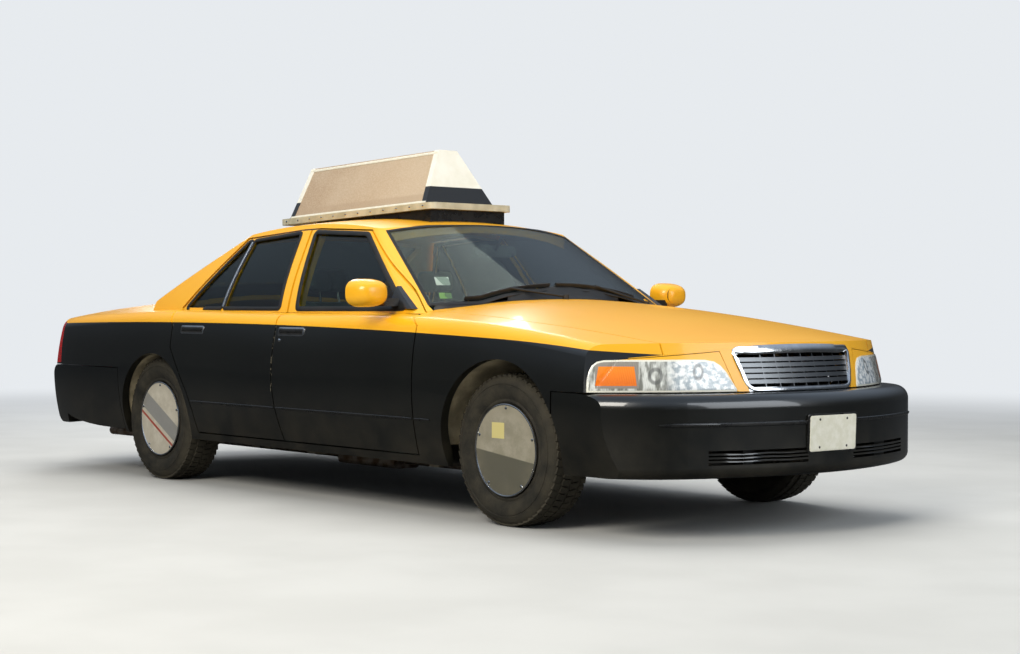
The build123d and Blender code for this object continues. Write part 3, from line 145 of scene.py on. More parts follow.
# Seat forms: name, side outline as (x, z), low and high y, channels as (axis, place), and the grid's size
SEAT_FORMS = {
    "front_seats": [
        ("front_cushion", [(-0.335, 0.442), (0.215, 0.442), (0.215, 0.56), (-0.335, 0.56)], -0.62, -0.12,
         [(1, -0.5), (1, -0.24), (0, 0.1)], 0.012),
        ("front_back", [(-0.272, 0.50), (-0.388, 0.48), (-0.522, 1.008), (-0.418, 1.016)], -0.615, -0.125,
         [(1, -0.5), (1, -0.24), (2, 0.86)], 0.012),
        ("head_rest", [(-0.532, 1.035), (-0.448, 1.035), (-0.448, 1.175), (-0.532, 1.175)], -0.5, -0.24,
         [(1, -0.37)], 0.01)],
    "rear_seat": [
        ("rear_cushion", [(-1.165, 0.524), (-0.615, 0.524), (-0.615, 0.622), (-1.165, 0.622)], -0.612, 0.612,
         [(1, -0.3), (1, 0.3), (0, -0.72)], 0.012),
        ("rear_back", [(-1.326, 0.53), (-1.14, 0.53), (-1.12, 0.61), (-1.245, 0.944), (-1.326, 0.944)], -0.612,
         0.612, [(1, -0.3), (1, 0.3), (2, 0.84)], 0.012)],
}


def both(stem):
    """Right and left names of a paired node."""
    return [f"{stem}_r", f"{stem}_l"]


# Plain finishes: two colours, roughness, further settings, and the nodes that wear them
PLAIN_FINISHES = {
    "Arch lining": ((0.2, 0.165, 0.1, 1), (0.36, 0.3, 0.19, 1), 0.9,
                    {"scale": 9.0, "grain": 0.3, "grain_scale": 140.0}, ["wheelhouses"]),
    "Frame coat": ((0.014, 0.014, 0.013, 1), (0.03, 0.028, 0.025, 1), 0.7, {"dust": 0.5, "grain": 0.2},
                   [*both("chassis_rail"), "cross_members", "radiator"]),
    "Sealed panel": ((0.022, 0.023, 0.022, 1), (0.035, 0.034, 0.031, 1), 0.75, {"dust": 0.4, "grain": 0.2},
                     ["floor_pan", "bulkheads"]),
    "Cast metal": ((0.09, 0.088, 0.082, 1), (0.16, 0.145, 0.12, 1), 0.62,
                   {"metallic": 0.7, "grain": 0.45, "dust": 0.4},
                   ["engine_block", "rear_axle", "front_suspension", *both("knuckle")]),
    "Stained pipe": ((0.16, 0.1, 0.06, 1), (0.34, 0.29, 0.24, 1), 0.5,
                     {"scale": 20.0, "metallic": 0.8, "grain": 0.15}, ["exhaust"]),
    "Tank coat": ((0.03, 0.03, 0.03, 1), (0.06, 0.055, 0.05, 1), 0.55, {"metallic": 0.4, "dust": 0.4},
                  ["fuel_tank"]),
    "Grained moulding": ((0.018, 0.02, 0.019, 1), (0.03, 0.032, 0.03, 1), 0.68,
                         {"grain": 0.5, "grain_scale": 520.0}, ["dashboard", "seat_bases"]),
    "Rim moulding": ((0.012, 0.012, 0.012, 1), (0.022, 0.022, 0.02, 1), 0.5,
                     {"grain": 0.3, "grain_scale": 600.0}, ["steering_wheel"]),
    "Black rubber": ((0.009, 0.009, 0.009, 1), (0.018, 0.017, 0.015, 1), 0.55, {"grain": 0.15}, []),
    "Bright trim": ((0.62, 0.63, 0.64, 1), (0.74, 0.75, 0.76, 1), 0.16, {"metallic": 1.0}, []),
    "Black moulding": ((0.007, 0.007, 0.007, 1), (0.012, 0.012, 0.011, 1), 0.3,
                       {"grain": 0.1, "Coat_Weight": 0.3}, both("mirror")),
    "Cream plate": ((0.66, 0.63, 0.5, 1), (0.74, 0.71, 0.6, 1), 0.4, {"scale": 30.0, "grain": 0.06}, []),
    "White card": ((0.72, 0.74, 0.7, 1), (0.8, 0.8, 0.76, 1), 0.7, {}, []),
    "Green card": ((0.24, 0.42, 0.12, 1), (0.32, 0.5, 0.16, 1), 0.6, {}, []),
    "Mirror plate": ((0.7, 0.72, 0.74, 1), (0.76, 0.78, 0.8, 1), 0.03, {"metallic": 1.0}, []),
}


def a_length(name, about, default):
    """Property for a length in metres."""
    return FloatProperty(name=name, description=about, default=default, unit="LENGTH")


def an_angle(name, about, degrees):
    """Property for an angle."""
    return FloatProperty(name=name, description=about, default=radians(degrees), subtype="ANGLE")


def a_colour(name, about, default):
    """Property for a colour."""
    return FloatVectorProperty(name=name, description=about, subtype="COLOR", size=4, min=0, max=1, default=default)


class PaintSettings(bpy.types.PropertyGroup):
    """Colours and finish of the body."""
    upper: a_colour("Upper colour", "Paint above the waistline", (0.86, 0.41, 0.010, 1))
    lower: a_colour("Lower colour", "Paint below the waistline", (0.0032, 0.0035, 0.0028, 1))
    dust: a_colour("Dust colour", "Road dust on the sills and tyres", (0.26, 0.21, 0.13, 1))
    break_z: a_length("Waistline", "Height of the colour break", WAIST_Z)


class TrimSettings(bpy.types.PropertyGroup):
    """Sizes of the seals and handles."""
    seal_width: a_length("Seal width", "Width of the rubber round each window", 0.026)
    seal_height: a_length("Seal height", "How far a seal stands proud", 0.005)
    handle_length: a_length("Handle length", "Length of a door handle's frame", 0.226)
    handle_height: a_length("Handle height", "Height of a door handle's frame", 0.046)


class WheelSettings(bpy.types.PropertyGroup):
    """Tyre and wheel cover sizes."""
    tread_blocks: IntProperty(name="Tread blocks", description="Blocks round one row of the tread", default=58,
                              min=12)
    tread_depth: a_length("Tread depth", "Depth of the grooves", 0.007)
    cover_radius: a_length("Cover radius", "Radius of the flat wheel cover", 0.205)


class SeatSettings(bpy.types.PropertyGroup):
    """Upholstery."""
    cloth: a_colour("Cloth", "Colour of the seat cloth", (0.075, 0.092, 0.083, 1))
    swell: a_length("Swell", "How far a pad may swell", 0.012)


class StageSettings(bpy.types.PropertyGroup):
    """Camera."""
    camera_place: FloatVectorProperty(name="Camera", description="Place of the camera", size=3,
                                      default=(7.72986, -6.21652, 0.97464), subtype="XYZ")
    camera_yaw: an_angle("Yaw", "Heading of the view from +X", 138.960)
    camera_pitch: an_angle("Pitch", "How far the view points down", 0.666)
    camera_roll: an_angle("Roll", "Turn about the view axis", 0.199)
    focal_pixels: FloatProperty(name="Focal length", description="Focal length in pixels of the picture's width",
                                default=1844.24)


# Node tree helpers
def join(tree, value, socket):
    """Link a value or a socket, or set a plain value."""
    if isinstance(value, Value):
        value = value.socket
    if isinstance(value, bpy.types.NodeSocket):
        tree.links.new(value, socket)
    else:
        socket.default_value = value


def node(tree, kind, values=None, **settings):
    """Add one node with its settings and inputs."""
    made = tree.nodes.new(kind)
    for key, value in settings.items():
        setattr(made, key, value)
    for key, value in (values or {}).items():
        join(tree, value, made.inputs[key])
    return made


class Value:
    """A node's output. Sums and comparisons with it add math nodes to its tree."""

    def __init__(self, tree, socket):
        self.tree = tree
        self.socket = socket

    def maths(self, operation, other=0.0, swapped=False):
        """One math node on this value and another."""
        first, second = (other, self) if swapped else (self, other)
        return Value(self.tree, node(self.tree, "ShaderNodeMath", {0: first, 1: second},
                                     operation=operation).outputs[0])

    def clamped(self):
        """The same value, held between 0 and 1 by its own node."""
        self.socket.node.use_clamp = True
        return self

    def most(self, other):
        """The larger of two values."""
        return self.maths("MAXIMUM", other)

    def __add__(self, other):
        return self.maths("ADD", other)

    def __radd__(self, other):
        return self.maths("ADD", other, True)

    def __sub__(self, other):
        return self.maths("SUBTRACT", other)

    def __rsub__(self, other):
        return self.maths("SUBTRACT", other, True)

    def __mul__(self, other):
        return self.maths("MULTIPLY", other)

    def __truediv__(self, other):
        return self.maths("DIVIDE", other)

    def __pow__(self, other):
        return self.maths("POWER", other)

    def __gt__(self, other):
        return self.maths("GREATER_THAN", other)

    def __lt__(self, other):
        return self.maths("LESS_THAN", other)

    def __abs__(self):
        return self.maths("ABSOLUTE")


def between(value, low, high):
    """1 where a value lies between two limits."""
    return (value > low) * (value < high)


def distance_of(first, second):
    """Length of a pair of values taken at right angles."""
    return (first ** 2.0 + second ** 2.0).maths("SQRT")


def blend(factor, first, second):
    """Mix of two colours."""
    made = node(factor.tree, "ShaderNodeMix", {0: factor, 6: first, 7: second}, data_type="RGBA")
    return Value(factor.tree, made.outputs[2])


def ramp(value, low, high):
    """Smooth 0 to 1 step of a value between two limits."""
    made = node(value.tree, "ShaderNodeMapRange", {"Value": value, "From Min": low, "From Max": high},
                interpolation_type="SMOOTHSTEP")
    return Value(value.tree, made.outputs[0])


def noise(vector, scale, detail=2.0, roughness=0.5):
    """Noise value on a vector."""
    made = node(vector.tree, "ShaderNodeTexNoise", {
        "Vector": vector, "Scale": scale, "Detail": detail, "Roughness": roughness})
    return Value(vector.tree, made.outputs["Fac"])


def ribs(point, scale, direction):
    """Even bands along one axis."""
    made = node(point.tree, "ShaderNodeTexWave", {"Vector": point, "Scale": scale, "Distortion": 0.0},
                bands_direction=direction)
    return Value(point.tree, made.outputs["Fac"])


def vector_of(x, y, z):
    """Vector of three values, the first of them from a tree."""
    return Value(x.tree, node(x.tree, "ShaderNodeCombineXYZ", {0: x, 1: y, 2: z}).outputs[0])


def stored(tree, name):
    """Number stored on the mesh under a name."""
    return Value(tree, node(tree, "ShaderNodeAttribute", attribute_name=name).outputs["Fac"])


def object_point(tree):
    """Object coordinates and their three parts."""
    point = node(tree, "ShaderNodeTexCoord").outputs["Object"]
    parts = node(tree, "ShaderNodeSeparateXYZ", {0: point}).outputs
    return [Value(tree, socket) for socket in (point, *parts)]


def mask_group(name, build, **defaults):
    """Node group with one mask output and named inputs, made once."""
    if name in bpy.data.node_groups:
        return bpy.data.node_groups[name]
    group = bpy.data.node_groups.new(name, "ShaderNodeTree")
    group.interface.new_socket("Mask", in_out="OUTPUT", socket_type="NodeSocketFloat")
    for key, default in defaults.items():
        socket = group.interface.new_socket(key, in_out="INPUT", socket_type="NodeSocketFloat")
        socket.default_value = default
    inputs = node(group, "NodeGroupInput")
    values = [Value(group, inputs.outputs[key]) for key in defaults]
    join(group, build(*object_point(group), *values), node(group, "NodeGroupOutput").inputs["Mask"])
    return group


def masked(tree, group, **values):
    """Mask from a group placed in a tree."""
    return Value(tree, node(tree, "ShaderNodeGroup", values, node_tree=group).outputs["Mask"])


def waistline_mask():
    """1 above the colour break, which falls towards both ends of the car."""
    def build(point, x, y, z, height):
        drop = (x + 0.9) ** 2.0 * 0.00763 + (x - 1.6).most(0.0) ** 2.0 * 0.047
        return ramp(z - (height - drop), -0.0008, 0.0008)
    return mask_group("Waistline", build, Height=WAIST_Z)


def dust_mask():
    """Road dust: thick near the ground and broken up by noise."""
    def build(point, x, y, z, top, amount):
        patches = ramp(noise(point, 5.0, 6.0, 0.65), 0.3, 0.75)
        return (1.0 - ramp(z, 0.24, top)) * patches * amount
    return mask_group("Road dust", build, Top=0.62, Amount=0.3)


def inner_face_mask():
    """1 on the faces that look towards the car's middle plane."""
    def build(point, x, y, z):
        facing = node(point.tree, "ShaderNodeNewGeometry").outputs["Normal"]
        local = node(point.tree, "ShaderNodeVectorTransform", {0: facing}, vector_type="NORMAL",
                     convert_from="WORLD", convert_to="OBJECT").outputs[0]
        across = node(point.tree, "ShaderNodeSeparateXYZ", {0: local}).outputs[1]
        return Value(point.tree, across) * y.maths("SIGN") < -0.35
    return mask_group("Inner faces", build)


class Finish:
    """Material with a Principled shader, whose constants stand on its own sockets."""

    def __init__(self, name, roughness=0.5, metallic=0.0, **sockets):
        self.material = bpy.data.materials.new(name)
        self.material.use_nodes = True
        self.tree = self.material.node_tree
        self.shader = self.tree.nodes["Principled BSDF"]
        self.point, self.x, self.y, self.z = object_point(self.tree)
        self.put(Roughness=roughness, Metallic=metallic, **sockets)

    def put(self, **sockets):
        """Link or set inputs of the shader."""
        for key, value in sockets.items():
            join(self.tree, value, self.shader.inputs[key.replace("_", " ")])

    def patches(self, scale, detail, low, high, roughness=0.5):
        """Noise drawn out to patches of 0 and 1."""
        return ramp(noise(self.point, scale, detail, roughness), low, high)

    def bump(self, height, strength, distance):
        """Bump from a height value."""
        made = node(self.tree, "ShaderNodeBump", {"Height": height, "Strength": strength, "Distance": distance})
        self.put(Normal=made.outputs[0])

    def rising(self):
        """Height above the roof sign's slope."""
        return self.z - self.x * SIGN_SLOPE


# Finishes
def body_paint(name, two_tone=True, lined=False, black=False, worn_lines=()):
    """Glossy coat, split at the waistline where two_tone, with a dull lining inside where lined."""
    paint = bpy.context.scene.cab_paint
    coat = Finish(name, 0.32, Coat_Weight=0.85, Coat_Roughness=0.06, Specular_IOR_Level=0.45)
    fade = coat.patches(1.7, 3.0, 0.3, 0.75)
    upper = tuple(paint.upper)
    colour = blend(fade, upper, (upper[0] * 1.02, upper[1] * 1.07, upper[2] * 1.5, 1))
    lower = blend(fade, tuple(paint.lower), tuple(1.5 * v for v in paint.lower))
    if black:
        colour = lower
    elif two_tone:
        colour = blend(masked(coat.tree, waistline_mask(), Height=paint.break_z), lower, colour)
    for line_x, low, high in worn_lines:
        near = 1.0 - ramp(abs(coat.x - line_x), 0.0015, 0.0035)
        chips = (noise(coat.point, 60.0, 3.0) > 0.56) * between(coat.z, low, high)
        colour = blend(near * chips, colour, (0.14, 0.125, 0.09, 1))
    dusty = masked(coat.tree, dust_mask(), Top=0.6, Amount=0.07)
    colour = blend(dusty, colour, tuple(paint.dust))
    rough = (0.3 + dusty * 1.2).clamped()
    if lined:
        inner = masked(coat.tree, inner_face_mask())
        colour = blend(inner, colour, (0.035, 0.04, 0.037, 1))
        rough = rough.most(inner * 0.75)
    coat.put(Base_Color=colour, Roughness=rough)
    if not black:
        softer = masked(coat.tree, waistline_mask(), Height=paint.break_z if two_tone else -1.0)
        coat.put(Coat_Weight=1.0 - softer * 0.68)
    coat.bump(noise(coat.point, 260.0), 0.05, 0.0006)
    return coat.material


def plain_finish(name, first, second, roughness, scale=12.0, metallic=0.0, grain=0.0, grain_scale=400.0,
                 dust=0.0, **sockets):
    """Two close colours broken up by noise, with a grain and some road dust."""
    coat = Finish(name, roughness, metallic, **sockets)
    mottling = coat.patches(scale, 5.0, 0.35, 0.68, 0.6)
    colour = blend(mottling, first, second)
    if dust:
        dusty = masked(coat.tree, dust_mask(), Top=0.9, Amount=dust)
        colour = blend(dusty, colour, tuple(bpy.context.scene.cab_paint.dust))
    coat.put(Base_Color=colour, Roughness=((roughness - 0.05) + mottling * 0.1).clamped())
    if grain:
        coat.bump(noise(coat.point, grain_scale, 3.0), grain, 0.001)
    return coat.material


def glass_finish(name, tint):
    """Thin tinted glass that lets the light through to the cabin."""
    coat = Finish(name, 0.0, Transmission_Weight=1.0, IOR=1.3, Specular_IOR_Level=0.6)
    haze = coat.patches(3.5, 5.0, 0.35, 0.8)
    coat.put(Base_Color=blend(haze, tint, tuple(min(1, 1.08 * v) for v in tint)), Roughness=haze * 0.03)
    clear = node(coat.tree, "ShaderNodeBsdfTransparent", {"Color": tint})
    shadow = node(coat.tree, "ShaderNodeLightPath").outputs["Is Shadow Ray"]
    mix = node(coat.tree, "ShaderNodeMixShader", {0: shadow, 1: coat.shader.outputs[0], 2: clear.outputs[0]})
    join(coat.tree, mix.outputs[0], coat.tree.nodes["Material Output"].inputs["Surface"])
    return coat.material


def headlamp_finish(name):
    """Clear fluted lens: pale border, an amber reflector in the outer third, and painted light: pale and dark
    streaks along the flutes, pale bluish painted reflections on facets in the inner part, and painted shade rings
    round two lamp bowls.
    """
    coat = Finish(name, 0.12, Coat_Weight=1.0, Coat_Roughness=0.03)
    along, up, edge = (stored(coat.tree, f"lens_{key}") for key in ("along", "up", "edge"))
    # Painted highlights and painted shade: pale and dark streaks along the flutes stand in for the light the clear
    # lens catches
    streaks = ramp(noise(vector_of(along * 30.0, 0.0, up * 1.6), 1.0, 4.0), 0.38, 0.62)
    # Painted reflections: pale bluish facets in the inner part of the lens
    facets = ramp(noise(vector_of(along * 26.0, 0.0, up * 6.0), 1.0, 5.0), 0.4, 0.6)
    fluted = blend(streaks, (0.2, 0.2, 0.17, 1), (0.72, 0.73, 0.68, 1))
    facet_reflections = blend(facets, (0.36, 0.42, 0.46, 1), (0.88, 0.89, 0.88, 1))
    colour = blend(ramp(along, 0.5, 0.62), fluted, facet_reflections)
    # Painted shade: dark rings round the two lamp bowls, which leave the bowls bright inside them
    dark = 0.0
    for centre, width, base in ((0.455, 0.05, 0.5), (0.74, 0.035, 0.62)):
        radius = distance_of((along - centre) / width, (up - base) / 0.26)
        dark = (1.0 - ramp(abs(radius - 0.8), 0.1, 0.35)).most(dark)
    colour = blend((dark * 0.7).clamped(), colour, (0.09, 0.09, 0.08, 1))
    frame_edge = between(along, 0.055, 0.345) * between(up, 0.12, 0.95)
    colour = blend(frame_edge, colour, (0.28, 0.25, 0.21, 1))
    amber = blend(ramp(up, 0.2, 0.8), (0.8, 0.17, 0.006, 1), (0.95, 0.25, 0.012, 1))
    reflector = between(along, 0.05 + up * 0.035, 0.338 + up * -0.03) * between(up, 0.2, 0.8)
    colour = blend(reflector, colour, amber)
    coat.put(Base_Color=blend(edge < 0.0075, colour, (0.8, 0.78, 0.66, 1)))
    coat.bump(ribs(coat.point, 40.0, "Y"), 0.3, 0.0015)
    return coat.material


def tail_lamp_finish(name):
    """Red ribbed lens with a clear band for the reversing light."""
    coat = Finish(name, 0.15, Coat_Weight=1.0, Coat_Roughness=0.04)
    clear = between(coat.z, 0.70, 0.755) * (abs(coat.y) < 0.84)
    red = blend(noise(coat.point, 22.0), (0.25, 0.004, 0.004, 1), (0.62, 0.012, 0.01, 1))
    coat.put(Base_Color=blend(clear, red, (0.7, 0.68, 0.64, 1)))
    coat.bump(ribs(coat.point, 30.0, "Z"), 0.5, 0.002)
    return coat.material


def grille_finish(name):
    """Bright frame with darker slats inside it."""
    coat = Finish(name, 0.12, 1.0)
    edge = 0.3215 + (coat.z - 0.616) * 0.244
    bright = (abs(coat.y) > edge).most((coat.z > 0.7715).most(coat.z < 0.6325))
    coat.put(Base_Color=blend(bright, (0.17, 0.175, 0.18, 1), (0.78, 0.79, 0.8, 1)), Roughness=0.34 - bright * 0.25)
    coat.bump(noise(coat.point, 60.0), 0.06, 0.001)
    return coat.material


def cover_finish(name, centre_x, front):
    """Flat painted disc: silver with a darker foot in front, pale with a slanting grey band behind."""
    coat = Finish(name, 0.38, Coat_Weight=0.3, Coat_Roughness=0.25)
    along = coat.x - centre_x
    up = coat.z - TYRE_RADIUS
    distance = distance_of(along, up)
    scuffs = coat.patches(16.0, 6.0, 0.35, 0.7, 0.7)
    if front:
        colour = blend(scuffs, (0.24, 0.22, 0.16, 1), (0.33, 0.3, 0.23, 1))
        colour = blend(ramp(up + along * 0.12, -0.022, -0.028), colour, (0.1, 0.095, 0.07, 1))
        plaque = (abs(up - 0.085) < 0.035) * (abs(along + 0.05) < 0.042)
        colour = blend(plaque, colour, (0.58, 0.5, 0.2, 1))
    else:
        colour = blend(scuffs, (0.42, 0.38, 0.3, 1), (0.55, 0.51, 0.42, 1))
        slant = up + along * 0.55
        colour = blend(abs(slant - 0.015) < 0.052, colour, (0.24, 0.235, 0.22, 1))
        colour = blend(abs(slant + 0.07) < 0.008, colour, (0.35, 0.06, 0.04, 1))
    colour = blend(ramp(distance, 0.2035, 0.2045), colour, (0.035, 0.034, 0.03, 1))
    colour = blend(abs(coat.y) < (0.9 if front else 0.93), colour, (0.045, 0.042, 0.038, 1))
    colour = blend(ramp(distance, 0.12, 0.205) * 0.35 * scuffs, colour, (0.2, 0.17, 0.11, 1))
    coat.put(Base_Color=colour, Roughness=0.3 + scuffs * 0.25)
    coat.bump(noise(coat.point, 9.0), 0.12, 0.004)
    return coat.material


def tyre_finish(name):
    """Worn rubber, browned with dust towards the tread."""
    coat = Finish(name, 0.82, Specular_IOR_Level=0.3)
    radius = stored(coat.tree, "from_axle")
    colour = blend(coat.patches(9.0, 6.0, 0.25, 0.75, 0.7), (0.012, 0.0115, 0.009, 1), (0.042, 0.036, 0.024, 1))
    coat.put(Base_Color=blend(ramp(radius, 0.285, 0.325) * 0.3, colour, (0.075, 0.065, 0.045, 1)))
    rings = (radius * 900.0).maths("SINE") * 0.25
    coat.bump(rings + noise(coat.point, 160.0, 3.0), 0.35, 0.0012)
    return coat.material


def cloth_finish(name):
    """Woven seat cloth on object coordinates."""
    cloth = tuple(bpy.context.scene.cab_seats.cloth)
    coat = Finish(name, 0.88, Sheen_Weight=0.25, Specular_IOR_Level=0.25)
    weft = ((coat.x + coat.z) * 1900.0).maths("SINE")
    warp = (coat.y * 1900.0).maths("SINE")
    colour = blend(coat.patches(4.0, 5.0, 0.3, 0.75), cloth, tuple(min(1, 1.7 * v) for v in cloth))
    flecks = (noise(coat.point, 700.0, 1.0) > 0.62) * 0.4
    coat.put(Base_Color=blend(flecks, colour, (0.3, 0.31, 0.28, 1)))
    coat.bump(weft * warp, 0.4, 0.0008)
    return coat.material


def sign_finish(name):
    """Sandy sheet left plain: a soft fade along the panel with a fine grain."""
    coat = Finish(name, 0.42, Coat_Weight=0.25, Coat_Roughness=0.3)
    colour = blend(ramp(coat.x, -1.1, 0.2), (0.36, 0.25, 0.15, 1), (0.47, 0.35, 0.22, 1))
    colour = blend(coat.patches(3.2, 4.0, 0.3, 0.7, 0.6) * 0.4, colour, (0.52, 0.42, 0.3, 1))
    colour = blend(coat.patches(130.0, 2.0, 0.4, 0.62) * 0.3, colour, (0.62, 0.52, 0.38, 1))
    foot = ramp(coat.rising() - 1.55, 0.012, 0.0)
    coat.put(Base_Color=blend(foot * 0.5, colour, (0.38, 0.27, 0.17, 1)))
    coat.bump(noise(coat.point, 320.0), 0.05, 0.0008)
    return coat.material


def banded_finish(name, roughness, low, high, dark, pale, paler, grain, **sockets):
    """Pale coat of the sign's tray or ends, dark below a line that follows the sign's slope."""
    coat = Finish(name, roughness, **sockets)
    tone = blend(coat.patches(14.0, 4.0, 0.3, 0.7), pale, paler)
    coat.put(Base_Color=blend(ramp(coat.rising(), low, high), dark, tone))
    coat.bump(noise(coat.point, 200.0), grain, 0.0008)
    return coat.material


# Mesh helpers
def surface_of(*names):
    """Search tree over the meshes of some nodes."""
    points = []
    faces = []
    for name in names:
        mesh = NODES[name].data
        first = len(points)
        points.extend(vertex.co.copy() for vertex in mesh.vertices)
        faces.extend([first + index for index in face.vertices] for face in mesh.polygons)
    return BVHTree.FromPolygons(points, faces)


def land(surface, origin, direction):
    """Where a ray meets a surface, with the normal turned to face the ray."""
    direction = Vector(direction).normalized()
    place, normal, face, distance = surface.ray_cast(Vector(origin), direction)
    if place is None:
        raise RuntimeError(f"no surface from {tuple(origin)} along {tuple(direction)}")
    return place, -normal if normal.dot(direction) > 0 else normal


def from_side(surface, x, side, z):
    """Place and normal on a surface felt from one side of the car."""
    return land(surface, (x, side * SIDE_PROBE_Y, z), (0, -side, 0))


def from_above(surface, x, y):
    """Place and normal on a surface felt from above."""
    return land(surface, (x, y, TOP_PROBE_Z), (0, 0, -1))


def from_ahead(surface, y, z):
    """Place and normal on a surface felt from ahead."""
    return land(surface, (NOSE_PROBE_X, y, z), (-1, 0, 0))


def covers(surface, x, y):
    """Whether a surface is seen from above at a point."""
    return surface.ray_cast(Vector((x, y, TOP_PROBE_Z)), Vector((0, 0, -1)))[0] is not None


def first_x(surface, y, start, step):
    """First x, marching from a start, at which a surface is seen from above."""
    for count in range(150):
        if covers(surface, start + step * count, y):
            return start + step * count
    raise RuntimeError(f"no surface at y {y} from x {start}")


def arc_x(middle, corner, half, y):
    """Where a plan arc through its middle and two corners stands at a y."""
    bow = middle - corner
    radius = (half ** 2 + bow ** 2) / (2 * bow)
    return middle - (radius - copysign(sqrt(radius ** 2 - y ** 2), radius))


def power(value, exponent):
    """Signed power."""
    return copysign(abs(value) ** exponent, value)


def mesh_from(bm):
    """Plain mesh from a bmesh, with its doubles merged and its normals outward."""
    bmesh.ops.remove_doubles(bm, verts=bm.verts, dist=1e-6)
    bmesh.ops.recalc_face_normals(bm, faces=bm.faces)
    mesh = bpy.data.meshes.new("piece")
    bm.to_mesh(mesh)
    bm.free()
    return mesh


def skin(rings, looped=False):
    """Bmesh with faces from each ring of points to the next, and either end caps or a closed loop."""
    bm = bmesh.new()
    rings = [[bm.verts.new(point) for point in ring] for ring in rings]
    pairs = list(zip(rings, rings[1:]))
    if looped:
        pairs.append((rings[-1], rings[0]))
    for first, second in pairs:
        for index in range(len(first)):
            following = (index + 1) % len(first)
            bm.faces.new((first[index], first[following], second[following], second[index]))
    if not looped:
        bm.faces.new(rings[0])
        bm.faces.new(reversed(rings[-1]))
    return bm


def joined(meshes):
    """One mesh made of several."""
    bm = bmesh.new()
    for mesh in meshes:
        bm.from_mesh(mesh)
        bpy.data.meshes.remove(mesh)
    made = bpy.data.meshes.new("piece")
    bm.to_mesh(made)
    bm.free()
    return made


def fit(name, mesh, finish, body="root", smooth=radians(35)):
    """Object from a mesh with a finish, shaded smooth below an angle, riding on a body."""
    mesh.name = name
    made = bpy.data.objects.new(name, mesh)
    bpy.context.scene.collection.objects.link(made)
    mesh.materials.clear()
    mesh.materials.append(bpy.data.materials[finish])
    mesh.shade_smooth()
    mesh.set_sharp_from_angle(angle=smooth)
    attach(made, body)
    return made


def mirror_shell(centre):
    """Rounded mirror housing, cut flat at the back."""
    columns, rows = 48, 20
    rings = []
    for row in range(rows + 1):
        bend = pi / 2 * row / rows
        reach = cos(bend) ** 0.62 if row < rows else 0.02
        angles = [2 * pi * column / columns for column in range(columns)]
        rings.append([centre + Vector((
            -0.052 + 0.122 * sin(bend) ** 0.85, 0.1 * reach * power(cos(angle), 0.72),
            0.067 * reach * power(sin(angle), 0.72))) for angle in angles])
    return mesh_from(skin(rings))


def sign_point(along, across, up):
    """Place on the tilted roof sign from its foot plane."""
    tilt = Vector((1, 0, SIGN_SLOPE)).normalized()
    return Vector((0, across, SIGN_FOOT_Z)) + tilt * along + Vector((-tilt.z, 0, tilt.x)) * up


def sign_end(height, way):
    """Where one end of the sign stands and its half width, at a height above its foot."""
    share = height / SIGN_HEIGHT
    middle = SIGN_MIDDLE_X - 0.055 * share
    return middle + way * (SIGN_HALF_LENGTH - 0.0375 * share), SIGN_HALF_WIDTH - SIGN_LEAN * share


def bridge(rows, thickness):
    """Moulding whose top runs through rows of points, each row across it, closed below."""
    drop = Vector((0, 0, -thickness))
    return mesh_from(skin([[*row, *(point + drop for point in reversed(row))] for row in rows]))


def rounded_outline(points, corner, step):
    """Closed outline with its corners rounded and its sides cut into short steps."""
    count = len(points)
    path = []
    for index in range(count):
        before, here, after, following = (Vector(points[(index + shift) % count]) for shift in (-1, 0, 1, 2))
        reach = min(corner, 0.45 * (here - before).length, 0.45 * (after - here).length)
        start = here + (before - here).normalized() * reach
        end = here + (after - here).normalized() * reach
        for share in (0, 0.25, 0.5, 0.75, 1):
            path.append(start * (1 - share) ** 2 + here * 2 * share * (1 - share) + end * share ** 2)
        next_reach = min(corner, 0.45 * (after - here).length, 0.45 * (following - after).length)
        target = after + (here - after).normalized() * next_reach
        pieces = max(1, int((target - end).length / step))
        path.extend(end.lerp(target, part / pieces) for part in range(1, pieces))
    return path


def shifted(path, amount):
    """Closed plane outline moved outwards."""
    centre = sum(path, Vector((0, 0))) / len(path)
    moved = []
    for index, point in enumerate(path):
        along = path[(index + 1) % len(path)] - path[index - 1]
        out = Vector((along.y, -along.x)).normalized()
        if out.dot(point - centre) < 0:
            out = -out
        moved.append(point + out * amount)
    return moved


def eased_normals(path, reach=3):
    """Path of (point, normal) whose normals are averaged with their neighbours."""
    count = len(path)
    eased = []
    for index, (point, normal) in enumerate(path):
        total = sum((path[(index + shift) % count][1] for shift in range(-reach, reach + 1)), Vector())
        eased.append((point, total.normalized()))
    return eased


def side_path(outline, surface, side, reach=0.008):
    """Outline of (x, z) laid on the side of the car, felt for a little outside the outline."""
    path = []
    for point, probe in zip(outline, shifted(outline, reach)):
        place, normal = from_side(surface, probe.x, side, probe.y)
        rise = (normal.x * (point.x - place.x) + normal.z * (point.y - place.z)) / normal.y
        path.append((Vector((point.x, place.y - rise, point.y)), normal))
    return path


def ribbon(path, width, height, closed=False, sink=0.0015, taper=0):
    """Low moulding along (point, normal) pairs, with a softly domed top and, with a taper, drawn-in ends."""
    section = [(-0.5, -sink), (-0.5, 0.5 * height), (-0.34, 0.9 * height), (0, height),
               (0.34, 0.9 * height), (0.5, 0.5 * height), (0.5, -sink)]
    rings = []
    last = len(path) - 1
    for index, (point, normal) in enumerate(path):
        before = path[index - 1][0] if closed or index else point
        after = path[(index + 1) % len(path)][0] if closed or index < last else point
        across = (after - before).cross(normal).normalized()
        scale = sqrt(min(1, (index + 0.4) / taper, (last - index + 0.4) / taper)) if taper else 1
        rings.append([point + across * width * u * scale + normal * v for u, v in section])
    return mesh_from(skin(rings, closed))


